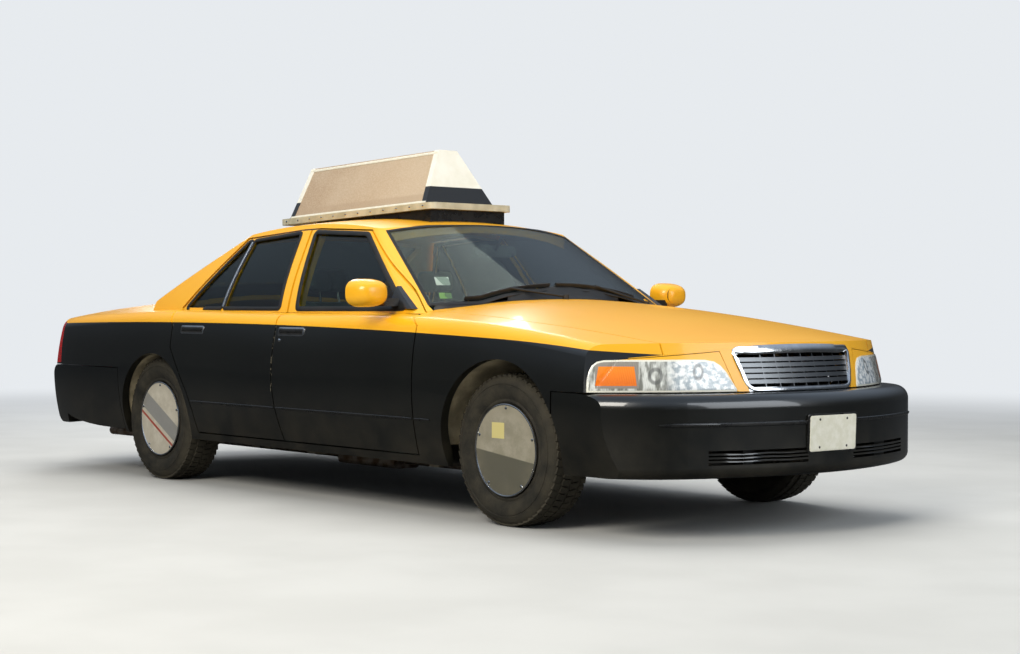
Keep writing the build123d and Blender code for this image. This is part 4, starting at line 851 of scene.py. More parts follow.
def frame_at(place, normal, up=(0, 0, 1)):
    """Matrix whose Z is the normal and whose Y points up along the surface."""
    facing = Vector(normal).normalized()
    across = Vector(up).cross(facing).normalized()
    matrix = Matrix((across, facing.cross(across), facing)).transposed().to_4x4()
    matrix.translation = place
    return matrix


def rounded_plate(seat, width, height, depth, corner, bevel=0.0, shift=(0, 0, 0)):
    """Flat plate with rounded corners in the XY plane of its seat, rising from it."""
    half = [(-width / 2, -height / 2), (width / 2, -height / 2), (width / 2, height / 2), (-width / 2, height / 2)]
    bm = bmesh.new()
    face = bm.faces.new([bm.verts.new((point.x, point.y, 0)) for point in rounded_outline(half, corner, 10.0)])
    made = bmesh.ops.extrude_face_region(bm, geom=[face])
    raised = [item for item in made["geom"] if isinstance(item, bmesh.types.BMVert)]
    bmesh.ops.translate(bm, verts=raised, vec=(0, 0, depth))
    if bevel:
        rim = [edge for edge in bm.edges if all(vertex.co.z > depth / 2 for vertex in edge.verts)]
        bmesh.ops.bevel(bm, geom=rim, offset=bevel, segments=2, affect="EDGES", profile=0.5)
    mesh = mesh_from(bm)
    mesh.transform(seat @ Matrix.Translation(shift))
    return mesh


def lathe(profile, steps):
    """Closed ring shape from a closed profile of (radius, y), turned about the Y axis."""
    turns = [2 * pi * step / steps for step in range(steps)]
    return mesh_from(skin([[(radius * cos(turn), y, radius * sin(turn)) for radius, y in profile]
                           for turn in turns], True))


def rod(start, end, radius, sides=10):
    """Round rod between two points."""
    start = Vector(start)
    along = Vector(end) - start
    turn = along.to_track_quat("Z", "Y").to_matrix().to_4x4()
    turn.translation = start + along / 2
    bm = bmesh.new()
    bmesh.ops.create_cone(bm, cap_ends=True, segments=sides, radius1=radius, radius2=radius,
                          depth=along.length, matrix=turn)
    return mesh_from(bm)


# Geometry node trees
def geometry_tree(name, sockets):
    """New geometry tree with a geometry input and output and named inputs, and its values by name."""
    tree = bpy.data.node_groups.new(name, "GeometryNodeTree")
    tree.interface.new_socket("Geometry", in_out="OUTPUT", socket_type="NodeSocketGeometry")
    for key, kind in {"Geometry": "Geometry", **sockets}.items():
        tree.interface.new_socket(key, in_out="INPUT", socket_type=f"NodeSocket{kind}")
    inputs = node(tree, "NodeGroupInput")
    return tree, {key: Value(tree, inputs.outputs[key]) for key in ("Geometry", *sockets)}


def finish_tree(tree, geometry, material):
    """Make a tree's instances real, give them their material and put them out."""
    real = node(tree, "GeometryNodeRealizeInstances", {"Geometry": geometry})
    coat = node(tree, "GeometryNodeSetMaterial", {"Geometry": real.outputs[0], "Material": material})
    join(tree, coat.outputs[0], node(tree, "NodeGroupOutput").inputs[0])
    return tree


def grown(mesh, tree, inputs):
    """Plain mesh that a geometry tree makes from a mesh."""
    carrier = bpy.data.objects.new("carrier", mesh)
    bpy.context.scene.collection.objects.link(carrier)
    modifier = carrier.modifiers.new("Build", "NODES")
    modifier.node_group = tree
    for item in tree.interface.items_tree:
        if item.in_out == "INPUT" and item.name in inputs:
            modifier[item.identifier] = inputs[item.name]
    made = evaluated(carrier)
    bpy.data.objects.remove(carrier)
    return made


def evaluated(made):
    """Plain mesh of an object with its modifiers worked out."""
    graph = bpy.context.evaluated_depsgraph_get()
    return bpy.data.meshes.new_from_object(made.evaluated_get(graph))


def tread_tree():
    """Rows of staggered tread blocks round the Y axis."""
    tree, inputs = geometry_tree("Tread", {
        "Radius": "Float", "Depth": "Float", "Blocks": "Int", "Material": "Material"})
    rows = node(tree, "GeometryNodeJoinGeometry")
    for row, (offset, width, share) in enumerate((
            (-0.077, 0.03, 1.45), (-0.027, 0.04, 0.62), (0.027, 0.04, 0.62), (0.077, 0.03, 1.45))):
        circle = node(tree, "GeometryNodeMeshCircle", {
            "Vertices": inputs["Blocks"], "Radius": inputs["Radius"] - inputs["Depth"] * share})
        turned = node(tree, "GeometryNodeTransform", {
            "Geometry": circle.outputs[0], "Rotation": (pi / 2, 0.054 * (row % 2), 0),
            "Translation": (0, offset, 0)})
        lug = node(tree, "GeometryNodeMeshCube", {"Size": (0.029, width, 0.011)})
        shape = node(tree, "GeometryNodeTransform", {
            "Geometry": lug.outputs[0], "Rotation": (0, 0, 0.2 if offset > 0 else -0.2)})
        place = node(tree, "GeometryNodeInputPosition").outputs[0]
        radial = node(tree, "ShaderNodeVectorMath", {0: place, 1: (1, 0, 1)}, operation="MULTIPLY").outputs[0]
        axis = node(tree, "FunctionNodeAlignEulerToVector", {"Vector": radial}, axis="Z", pivot_axis="Y")
        spread = node(tree, "GeometryNodeInstanceOnPoints", {
            "Points": turned.outputs[0], "Instance": shape.outputs[0], "Rotation": axis.outputs[0]})
        join(tree, spread.outputs[0], rows.inputs[0])
    return finish_tree(tree, rows.outputs[0], inputs["Material"])


def stud_tree():
    """Dome heads on the points of a mesh, each along the point's own direction."""
    tree, inputs = geometry_tree("Studs", {"Radius": "Float", "Material": "Material"})
    dome = node(tree, "GeometryNodeMeshUVSphere", {"Segments": 10, "Rings": 6, "Radius": inputs["Radius"]})
    flat = node(tree, "GeometryNodeTransform", {"Geometry": dome.outputs[0], "Scale": (1, 1, 0.55)})
    way = node(tree, "GeometryNodeInputNamedAttribute", {"Name": "facing"}, data_type="FLOAT_VECTOR")
    turn = node(tree, "FunctionNodeAlignEulerToVector", {"Vector": way.outputs[0]}, axis="Z")
    spread = node(tree, "GeometryNodeInstanceOnPoints", {
        "Points": inputs["Geometry"], "Instance": flat.outputs[0], "Rotation": turn.outputs[0]})
    return finish_tree(tree, spread.outputs[0], inputs["Material"])


def studs(places, radius, finish):
    """Dome heads at (point, direction) pairs, as one mesh."""
    mesh = bpy.data.meshes.new("points")
    mesh.from_pydata([tuple(point) for point, way in places], [], [])
    facing = mesh.attributes.new("facing", "FLOAT_VECTOR", "POINT")
    for index, (point, way) in enumerate(places):
        facing.data[index].vector = way
    tree = bpy.data.node_groups.get("Studs") or stud_tree()
    return grown(mesh, tree, {"Radius": radius, "Material": bpy.data.materials[finish]})


def dress(names, material):
    """Give a finish to frame nodes."""
    for name in names:
        slots = NODES[name].data.materials
        slots.clear()
        slots.append(material)


class CAB_OT_finishes(bpy.types.Operator):
    """Give every frame node its finish."""
    bl_idname = "cab.finishes"
    bl_label = "Body finishes"

    def execute(self, context):
        dress(["hood", "roof_panel", "header_panel", "deck_strip", "cowl_panel", "headlamps"],
              body_paint("Upper coat", two_tone=False))
        dress(["trunk_lid", *both("fender"), *both("quarter_panel")], body_paint("Two-tone coat"))
        dress(both("side_frame"), body_paint("Pillar coat", lined=True))
        dress(both("door_front"), body_paint("Front door coat", lined=True, worn_lines=[
            (B_LINE_X + 0.004, 0.45, 0.885)]))
        dress(both("door_rear"), body_paint("Rear door coat", lined=True, worn_lines=[
            (B_LINE_X - 0.004, 0.5, 0.88), (C_LINE_X + 0.004, 0.8, 0.885)]))
        dress(["bumper_front", "bumper_rear"], body_paint("Bumper coat", black=True))
        body_paint("Mirror shell", two_tone=False)
        headlamp_finish("Headlamp lens")
        dress(["grille"], grille_finish("Grille plating"))
        dress(["tail_lamps"], tail_lamp_finish("Tail lens"))
        dress(["windscreen", "backlight"], glass_finish("Screen glass", (0.36, 0.42, 0.38, 1)))
        dress([*both("door_glass_front"), *both("door_glass_rear")],
              glass_finish("Side glass", (0.25, 0.31, 0.29, 1)))
        for stem, centre_x in (("front", FRONT_AXLE_X), ("rear", REAR_AXLE_X)):
            dress(both(f"wheel_{stem}"), cover_finish(f"Wheel cover {stem}", centre_x, stem == "front"))
        dress([*both("tyre_front"), *both("tyre_rear")], tyre_finish("Tyre rubber"))
        dress(["roof_sign"], sign_finish("Sign sheet"))
        dress(["roof_sign_tray"], banded_finish("Sign tray", 0.4, 1.4645, 1.4655, (0.03, 0.03, 0.025, 1),
                                                (0.42, 0.39, 0.27, 1), (0.56, 0.53, 0.4, 1), 0.08))
        banded_finish("Sign ends", 0.35, 1.594, 1.597, (0.012, 0.012, 0.012, 1), (0.76, 0.74, 0.63, 1),
                      (0.82, 0.8, 0.71, 1), 0.05, Coat_Weight=0.3, Coat_Roughness=0.2)
        dress(["front_seats", "rear_seat"], cloth_finish("Seat cloth"))
        for name, (first, second, roughness, settings, nodes) in PLAIN_FINISHES.items():
            dress(nodes, plain_finish(name, first, second, roughness, **settings))
        return {"FINISHED"}


class CAB_OT_seals(bpy.types.Operator):
    """Lay rubber round the windows and the screens, and the bright division bars."""
    bl_idname = "cab.seals"
    bl_label = "Window seals"

    def execute(self, context):
        trim = context.scene.cab_trim
        for key, side in SIDES.items():
            for door, width in (("front", trim.seal_width), ("rear", trim.seal_width * 0.85)):
                surface = surface_of(f"door_{door}_{key}")
                strips = []
                for window in WINDOWS[door]:
                    outline = shifted(rounded_outline(window, 0.015, 0.03), 0.0035)
                    path = eased_normals(side_path(outline, surface, side))
                    strips.append(ribbon(path, width, trim.seal_height, closed=True))
                fit(f"window_seal_{door}_{key}", joined(strips), "Black rubber", f"{door}_door_{key}")
            surface = surface_of(f"door_rear_{key}", f"door_glass_rear_{key}")
            path = [from_side(surface, C_LINE_X + 0.353 - 0.012 * step / 12, side, 0.962 + 0.35 * step / 12)
                    for step in range(13)]
            fit(f"division_bar_{key}", ribbon(path, 0.011, 0.008), "Bright trim", f"rear_door_{key}")
        for label, arcs in SCREENS.items():
            surface = surface_of(label)
            outline = []
            for (middle, corner, half), steps in zip(arcs, (range(-8, 9), range(8, -9, -1))):
                outline += [Vector((arc_x(middle, corner, half, half * step / 8), half * step / 8))
                            for step in steps]
            dense = []
            for index, point in enumerate(outline):
                following = outline[(index + 1) % len(outline)]
                pieces = max(1, int((following - point).length / 0.05))
                dense.extend(point.lerp(following, part / pieces) for part in range(pieces))
            centre = sum(dense, Vector((0, 0))) / len(dense)
            path = []
            for point in dense:
                for share in (0.012, 0.02, 0.03, 0.045, 0.06, 0.08, 0.1, 0.13, 0.16, 0.2, 0.25, 0.3):
                    inward = point.lerp(centre, share)
                    if covers(surface, inward.x, inward.y):
                        break
                path.append(from_above(surface, inward.x, inward.y))
            fit(f"{label}_seal", ribbon(eased_normals(path, 1), 0.024, 0.003, closed=True), "Black rubber")
        for label, half, (start, step), neighbours in (
                ("windscreen", 0.745, WINDSCREEN_MARCH, ["cowl_panel"]),
                ("backlight", 0.655, (-1.62, 0.003), ["deck_strip", *both("quarter_panel")])):
            screen = surface_of(label)
            panel = surface_of(*neighbours)
            rows = []
            for count in range(41):
                y = half * (count / 20 - 1)
                foot_x = first_x(screen, y, start, step)
                edge_x = first_x(panel, y, foot_x, -step)
                upper, foot, rim, lower = (
                    from_above(surface, x, y)[0] + Vector((0, 0, lift)) for surface, x, lift in (
                        (screen, foot_x + 4 * step, 0.003), (screen, foot_x, 0.0025),
                        (panel, edge_x, 0.0035), (panel, edge_x - 4 * step, 0.003)))
                rows.append([upper, foot, foot.lerp(rim, 0.5) - Vector((0, 0, 0.006)), rim, lower])
            fit(f"{label}_foot", bridge(rows, 0.006), "Black rubber")
        return {"FINISHED"}


class CAB_OT_doors(bpy.types.Operator):
    """Fit the door handles, locks, mirrors and body side mouldings."""
    bl_idname = "cab.doors"
    bl_label = "Door fittings"

    def execute(self, context):
        trim = context.scene.cab_trim
        tall = trim.handle_height
        for key, side in SIDES.items():
            for door, (middle_x, height) in HANDLES.items():
                seat = frame_at(*from_side(surface_of(f"door_{door}_{key}"), middle_x, side, height))
                for part, cut, rise, depth, corner, bevel, shift, finish in (
                        ("rim", 0, tall, 0.004, 0.012, 0.0015, (0, 0, -0.001), "Bright trim"),
                        ("cup", 0.016, tall - 0.016, 0.0052, 0.008, 0.0, (0, 0, -0.001), "Black rubber"),
                        ("flap", 0.03, tall * 0.44, 0.006, 0.007, 0.002, (0, 0.004, 0.002), "Black moulding")):
                    plate = rounded_plate(seat, trim.handle_length - cut, rise, depth, corner, bevel, shift)
                    fit(f"handle_{part}_{door}_{key}", plate, finish, f"{door}_door_{key}")
            lock_place = from_side(surface_of(f"door_front_{key}"), LOCK_X, side, LOCK_Z)
            fit(f"door_lock_{key}", studs([lock_place], 0.010, "Bright trim"), "Bright trim", f"front_door_{key}")
            for panel, body, start_x, end_x in (
                    (f"fender_{key}", "root", FENDER_LINE_X + 0.006, FENDER_LINE_X + 0.12),
                    (f"door_front_{key}", f"front_door_{key}", B_LINE_X + 0.026, FENDER_LINE_X - 0.01),
                    (f"door_rear_{key}", f"rear_door_{key}", C_LINE_X + 0.205, B_LINE_X + 0.008)):
                surface = surface_of(panel)
                count = max(2, int((end_x - start_x) / 0.04))
                path = [from_side(surface, start_x + (end_x - start_x) * step / count, side, BEAD_Z)
                        for step in range(count + 1)]
                fit(f"side_moulding_{panel}", ribbon(path, 0.011, 0.0045, taper=1), "Black moulding", body)
            x, y, z = MIRROR_CENTRE
            centre = Vector((x, side * y, z))
            fit(f"mirror_shell_{key}", mirror_shell(centre), "Mirror shell", f"front_door_{key}")
            seat = frame_at(centre - Vector((0.0525, 0, 0)), (-1, 0, 0))
            fit(f"mirror_plate_{key}", rounded_plate(seat, 0.172, 0.106, 0.003, 0.04, 0.001), "Mirror plate",
                f"front_door_{key}")
        return {"FINISHED"}


class CAB_OT_nose(bpy.types.Operator):
    """Fit the blank plate, its bracket and the bumpers' rub strips."""
    bl_idname = "cab.nose"
    bl_label = "Plate and bumper trim"

    def execute(self, context):
        place = from_ahead(surface_of("bumper_front"), 0, PLATE_Z)[0]
        seat = frame_at(Vector((place.x, 0, PLATE_Z)), (1, 0, -0.03))
        fit("plate_bracket", rounded_plate(seat, 0.324, 0.166, 0.008, 0.01, 0.002, (0, 0, -0.006)),
            "Black moulding")
        plate = rounded_plate(seat, 0.305, 0.152, 0.0015, 0.012, 0.0005, (0, 0, 0.0025))
        rim = rounded_plate(seat, 0.293, 0.140, 0.0008, 0.01, 0.0, (0, 0, 0.0038))
        fit("front_plate", joined([plate, rim]), "Cream plate")
        holes = [(seat @ Vector((x, y, 0.0048)), seat.to_3x3() @ Vector((0, 0, 1)))
                 for x in (-0.09, 0.09) for y in (-0.059, 0.059)]
        fit("plate_bolts", studs(holes, 0.0055, "Black rubber"), "Black rubber")
        for label, centre_x, heading in (("front", 1.95, 0.0), ("rear", -1.95, pi)):
            surface = surface_of(f"bumper_{label}")
            path = []
            for step in range(-30, 31):
                angle = heading + STRIP_SPREAD * step / 30
                way = Vector((cos(angle), sin(angle), 0))
                path.append((land(surface, Vector((centre_x, 0, STRIP_Z)) + way * 3, -way)[0], way))
            fit(f"bumper_rub_strip_{label}", ribbon(path, 0.016, 0.006, taper=3), "Black moulding")
        return {"FINISHED"}


class CAB_OT_wipers(bpy.types.Operator):
    """Lay the wipers along the foot of the windscreen, and the cards and mirror behind it."""
    bl_idname = "cab.wipers"
    bl_label = "Wipers and cards"

    def execute(self, context):
        surface = surface_of("windscreen")
        cowl = surface_of("cowl_panel")
        for label, start_y, end_y, shift in (("near", -0.08, -0.60, 0.03), ("far", 0.50, -0.04, 0.06)):
            path = []
            for step in range(15):
                y = start_y + (end_y - start_y) * step / 14
                point, normal = from_above(surface, first_x(surface, y, *WINDSCREEN_MARCH) - 0.03, y)
                path.append((point + normal * 0.006, normal))
            blade = ribbon(path, 0.010, 0.014, sink=0.006)
            pivot_y = start_y + shift
            foot_x = first_x(surface, pivot_y, *WINDSCREEN_MARCH)
            pivot = from_above(cowl, first_x(cowl, pivot_y, foot_x, 0.003) + 0.018, pivot_y)[0]
            middle = path[7][0] + path[7][1] * 0.012
            arm = rod(pivot + Vector((0, 0, 0.014)), middle, 0.0065, 8)
            boss = rod(pivot - Vector((0, 0, 0.004)), pivot + Vector((0, 0, 0.022)), 0.016, 16)
            fit(f"wiper_{label}", joined([blade, arm, boss]), "Black rubber")
        for label, y, up, width, height, finish in (("white_card", -0.60, 0.13, 0.07, 0.075, "White card"),
                                                    ("green_card", -0.655, 0.05, 0.06, 0.05, "Green card")):
            point, normal = from_above(surface, first_x(surface, y, *WINDSCREEN_MARCH) - up * 1.5, y)
            seat = frame_at(point - normal * 0.0066, normal)
            fit(label, rounded_plate(seat, width, height, 0.0006, 0.006), finish)
        low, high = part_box("dashboard")
        seat = frame_at(Vector((high.x - 0.15, -0.34, high.z + 0.045)), (1, -0.25, 0.45))
        fit("dash_card", rounded_plate(seat, 0.15, 0.105, 0.002, 0.004), "White card")
        fit("gauge_hood", rod((0.80, 0.22, 0.925), (0.80, 0.52, 0.925), 0.045, 20), "Grained moulding")
        place, normal = from_above(surface, 0.52, 0)
        seat = frame_at(place + Vector((-0.05, 0, -0.075)), (-1, 0.15, -0.1))
        glass = rounded_plate(seat, 0.25, 0.062, 0.018, 0.028, 0.005)
        stem = rod(place - normal * 0.009, place + Vector((-0.045, 0, -0.07)), 0.008, 10)
        fit("cabin_mirror", joined([glass, stem]), "Black moulding")
        return {"FINISHED"}


class CAB_OT_wheels(bpy.types.Operator):
    """Build the four treaded tyres, the cover beads and their studs."""
    bl_idname = "cab.wheels"
    bl_label = "Tyres and covers"

    def execute(self, context):
        wheels = context.scene.cab_wheels
        groove = TYRE_RADIUS - wheels.tread_depth
        half = TYRE_SECTION + [(groove - 0.0005, -0.078), (groove, -0.05), (groove, -0.006),
                               (TYRE_RADIUS - 0.002, -0.0055)]
        profile = half + [(radius, -y) for radius, y in reversed(half)]
        tread = tread_tree()
        for stem, key in ((stem, key) for stem in ("front", "rear") for key in SIDES):
            side = SIDES[key]
            body = f"{stem}_wheel_{key}"
            low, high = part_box(f"tyre_{stem}_{key}")
            centre = (low + high) / 2
            carcass = lathe(profile, 96)
            blocks = grown(bpy.data.meshes.new("empty"), tread, {
                "Radius": TYRE_RADIUS, "Depth": wheels.tread_depth, "Blocks": wheels.tread_blocks,
                "Material": bpy.data.materials["Tyre rubber"]})
            mesh = joined([carcass, blocks])
            distance = mesh.attributes.new("from_axle", "FLOAT", "POINT")
            for vertex in mesh.vertices:
                distance.data[vertex.index].value = sqrt(vertex.co.x ** 2 + vertex.co.z ** 2)
            mesh.transform(Matrix.Translation(centre))
            tyre = fit(f"tread_tyre_{stem}_{key}", mesh, "Tyre rubber", body)
            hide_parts(f"tyre_{stem}_{key}")
            face_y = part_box(f"wheel_{stem}_{key}")[0 if side < 0 else 1].y
            bead = lathe([(wheels.cover_radius + 0.0045 * cos(2 * pi * turn / 8) - 0.003,
                           side * 0.004 * sin(2 * pi * turn / 8)) for turn in range(8)], 96)
            bead.transform(Matrix.Translation((centre.x, face_y, centre.z)))
            fit(f"cover_bead_{stem}_{key}", bead, "Bright trim", body)
            angles = [2 * pi * turn / COVER_STUDS + 0.3 for turn in range(COVER_STUDS)]
            ring = [(Vector((centre.x + STUD_CIRCLE * cos(angle), face_y, centre.z + STUD_CIRCLE * sin(angle))),
                     Vector((0, side, 0))) for angle in angles]
            fit(f"cover_studs_{stem}_{key}", studs(ring, 0.0075, "Bright trim"), "Bright trim", body)
        return {"FINISHED"}


class CAB_OT_sign(bpy.types.Operator):
    """Add the sign's end caps, edge strips, riser and the studs along its tray."""
    bl_idname = "cab.sign"
    bl_label = "Roof sign"

    def execute(self, context):
        for label, way in (("front", 1), ("rear", -1)):
            rings = []
            for height in (0.003, 0.08, 0.16, 0.24, 0.3):
                outer, half = sign_end(height, way)
                half += 0.003
                ring = [(outer + way * 0.005, -half), (outer + way * 0.005, half),
                        (outer - way * 0.032, half), (outer - way * 0.032, -half)]
                rings.append([sign_point(u, v, height) for u, v in ring])
            bm = skin(rings)
            rim = [item for item in bm.edges if len(item.link_faces) == 2 and item.calc_face_angle() > 0.5]
            bmesh.ops.bevel(bm, geom=rim, offset=0.004, segments=2, affect="EDGES", profile=0.5)
            fit(f"sign_cap_{label}", mesh_from(bm), "Sign ends")
        strips = []
        lean = Vector((0, SIGN_HEIGHT, SIGN_LEAN)).normalized()
        for side in (-1, 1):
            normal = sign_point(0, side * lean.y, lean.z) - sign_point(0, 0, 0)
            for height in (0.010, 0.284):
                front_end, half = sign_end(height, 1)
                rear_end, half = sign_end(height, -1)
                path = [(sign_point(rear_end + (front_end - rear_end) * step / 24, side * half, height), normal)
                        for step in range(25)]
                strips.append(ribbon(path, 0.016, 0.003))
        fit("sign_edges", joined(strips), "Cream plate")
        roof = surface_of("roof_panel")
        corners = [Vector((-0.34, -0.252)), Vector((0.249, -0.252)), Vector((0.249, 0.252)), Vector((-0.34, 0.252))]
        spots = [start.lerp(end, step / 12) for start, end in zip(corners, corners[1:]) for step in range(12)]
        rings = []
        for spot in [*spots, corners[-1]]:
            roof_z = from_above(roof, spot.x, spot.y)[0].z + 0.0008
            head_z = SIGN_FOOT_Z - 0.0335 + SIGN_SLOPE * spot.x
            inner = spot * 0.985 - Vector((0.003, 0))
            rings.append([(spot.x, spot.y, roof_z), (spot.x, spot.y, head_z),
                          (inner.x, inner.y, head_z), (inner.x, inner.y, roof_z)])
        fit("sign_riser", mesh_from(skin(rings)), "Black moulding")
        low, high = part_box("roof_sign_tray")
        places = []
        for side in (-1, 1):
            for step in range(12):
                x = low.x + 0.07 + (high.x - low.x - 0.14) * step / 11
                places.append((Vector((x, side * 0.2795, SIGN_FOOT_Z - 0.017 + SIGN_SLOPE * x)),
                               Vector((0, side, 0))))
        fit("tray_studs", studs(places, 0.007, "Bright trim"), "Bright trim")
        return {"FINISHED"}


def puffed(side, low_y, high_y, seams, voxel):
    """Padded form: a closed block swollen a little by cloth simulation, with sewn channels after it."""
    scene = bpy.context.scene
    swell = scene.cab_seats.swell
    centre = sum((Vector(point) for point in side), Vector((0, 0))) / len(side)
    drawn = [Vector(point) + (centre - Vector(point)).normalized() * PAD_INSET for point in side]
    bm = bmesh.new()
    near, far = [[bm.verts.new((point.x, y, point.y)) for point in drawn]
                 for y in (low_y + PAD_INSET, high_y - PAD_INSET)]
    bm.faces.new(near)
    bm.faces.new(reversed(far))
    for index in range(len(drawn)):
        following = (index + 1) % len(drawn)
        bm.faces.new((near[index], far[index], far[following], near[following]))
    pad = bpy.data.objects.new("pad", mesh_from(bm))
    scene.collection.objects.link(pad)
    bevel = pad.modifiers.new("Round", "BEVEL")
    bevel.width = 0.03
    bevel.segments = 4
    remesh = pad.modifiers.new("Even", "REMESH")
    remesh.mode = "VOXEL"
    remesh.voxel_size = voxel
    base = evaluated(pad)
    pad.modifiers.clear()
    pad.data = base
    cloth = pad.modifiers.new("Swell", "CLOTH")
    cloth.settings.use_pressure = True
    cloth.settings.uniform_pressure_force = 4.0
    cloth.settings.quality = 4
    cloth.settings.effector_weights.gravity = 0
    cloth.point_cache.frame_start = 1
    cloth.point_cache.frame_end = 20
    for number in range(1, 21):
        scene.frame_set(number)
    for before, after in zip(base.vertices, evaluated(pad).vertices):
        shift = after.co - before.co
        if shift.length > swell:
            shift = shift.normalized() * swell
        before.co = before.co + shift
    pad.modifiers.clear()
    scene.frame_set(1)
    finer = pad.modifiers.new("Finer", "SUBSURF")
    finer.levels = 1
    finer.render_levels = 1
    made = evaluated(pad)
    bpy.data.objects.remove(pad)
    made.update()
    normals = [vertex.normal.copy() for vertex in made.vertices]
    for axis, place in seams:
        for vertex, normal in zip(made.vertices, normals):
            away = abs(vertex.co[axis] - place)
            if away < SEAM_HALF_WIDTH:
                vertex.co -= normal * SEAM_DEPTH * (1 - (away / SEAM_HALF_WIDTH) ** 2) ** 2
    return made


class CAB_OT_seats(bpy.types.Operator):
    """Upholster the front and rear seats."""
    bl_idname = "cab.seats"
    bl_label = "Seats"

    def execute(self, context):
        for seat, forms in SEAT_FORMS.items():
            places = (("_r", 0.0), ("_l", 2 * FRONT_SEAT_Y)) if seat == "front_seats" else (("", 0.0),)
            for label, *form in forms:
                mesh = puffed(*form)
                for ending, shift in places:
                    copy = mesh.copy()
                    copy.transform(Matrix.Translation((0, shift, 0)))
                    pad = fit(label + ending, copy, "Seat cloth", smooth=radians(80))
                    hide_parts(seat)
            if seat == "front_seats":
                for key, side in SIDES.items():
                    y = side * FRONT_SEAT_Y
                    posts = [rod((-0.474, y + shift, 0.99), (-0.489, y + shift, 1.06), 0.006)
                             for shift in (-0.06, 0.06)]
                    fit(f"head_rest_posts_{key}", joined(posts), "Bright trim")
        return {"FINISHED"}


def lens_mesh(side):
    """Headlamp lens laid just over the nose, with its place along, up and in from the edge stored on it."""
    surface = surface_of("headlamps", f"fender_{'r' if side < 0 else 'l'}", "header_panel", "hood")
    columns = []
    for first, second in zip(LENS_COLUMNS, LENS_COLUMNS[1:]):
        pieces = max(1, round((second[0] - first[0]) / 0.012))
        for part in range(pieces):
            columns.append([low + (high - low) * part / pieces for low, high in zip(first, second)])
    columns.append(list(LENS_COLUMNS[-1]))
    flat = [(share, Vector((radians(foot) * LENS_REACH, LENS_FOOT_Z)), Vector((radians(head) * LENS_REACH, head_z)))
            for share, foot, head, head_z in columns]
    outline = [foot for share, foot, head in flat] + [head for share, foot, head in reversed(flat)]
    for share, foot, head in (flat[0], flat[-1]):
        outline += [foot.lerp(head, step / 6) for step in range(7)]
    rows = 14
    bm = bmesh.new()
    layers = [bm.verts.layers.float.new(name) for name in ("lens_along", "lens_up", "lens_edge")]
    grid = []
    for share, foot, head in flat:
        line = []
        for row in range(rows + 1):
            spot = foot.lerp(head, row / rows)
            bearing = spot.x / LENS_REACH
            way = Vector((cos(bearing), side * sin(bearing), 0))
            axis = Vector((LENS_AXIS_X, 0, min(max(spot.y, LENS_LOW_Z), LENS_HIGH_Z)))
            place = land(surface, axis + way * 3, -way)[0]
            place.z = spot.y
            edge = min((spot - point).length for point in outline)
            vertex = bm.verts.new(place + way * (0.003 + 0.003 * min(1, edge / 0.012)))
            for layer, value in zip(layers, (share, (spot.y - LENS_FOOT_Z) / LENS_HEIGHT, edge)):
                vertex[layer] = value
            line.append(vertex)
        grid.append(line)
    for first, second in zip(grid, grid[1:]):
        for row in range(rows):
            bm.faces.new((first[row], second[row], second[row + 1], first[row + 1]))
    made = bmesh.ops.extrude_edge_only(bm, edges=[edge for edge in bm.edges if edge.is_boundary])
    for item in made["geom"]:
        if isinstance(item, bmesh.types.BMVert):
            item.co += Vector((LENS_AXIS_X - item.co.x, -item.co.y, 0)).normalized() * 0.01
    return mesh_from(bm)


class CAB_OT_lamps(bpy.types.Operator):
    """Lay the headlamp lenses, the grille's bright frame and the ribs over the tail lamps."""
    bl_idname = "cab.lamps"
    bl_label = "Lamps and grille frame"

    def execute(self, context):
        for key, side in SIDES.items():
            fit(f"headlamp_lens_{key}", lens_mesh(side), "Headlamp lens")
        nose = surface_of("grille", "header_panel", "hood")
        outline = rounded_outline([(-0.337, 0.622), (0.337, 0.622), (0.388, 0.797), (-0.388, 0.797)], 0.045, 0.03)
        path = [from_ahead(nose, point.x, point.y) for point in outline]
        fit("grille_frame", ribbon(eased_normals(path, 4), 0.017, 0.008, closed=True), "Bright trim")
        path = []
        for step in range(31):
            y = CROWN_HALF * (step / 15 - 1)
            place = from_ahead(nose, y, CROWN_Z + 0.010 * (1 - (y / CROWN_HALF) ** 2))[0]
            path.append((place, Vector((0.93, y * 0.35, 0.36)).normalized()))
        fit("grille_crown", ribbon(path, 0.04, 0.010, taper=4), "Bright trim")
        tail = surface_of("tail_lamps")
        for key, side in SIDES.items():
            strips = []
            for height in (0.665, 0.70, 0.757, 0.81):
                path = [land(tail, (TAIL_PROBE_X, side * (0.585 + 0.25 * step / 8), height), (1, 0, 0))
                        for step in range(9)]
                strips.append(ribbon(path, 0.005, 0.003))
            fit(f"tail_lamp_ribs_{key}", joined(strips), "Black moulding")
        return {"FINISHED"}


def seen_rays(tree):
    """Light path outputs, with 1 for the rays that reach the picture directly or through glass."""
    path = node(tree, "ShaderNodeLightPath").outputs
    return path, Value(tree, path["Is Camera Ray"]).most(path["Is Transmission Ray"])


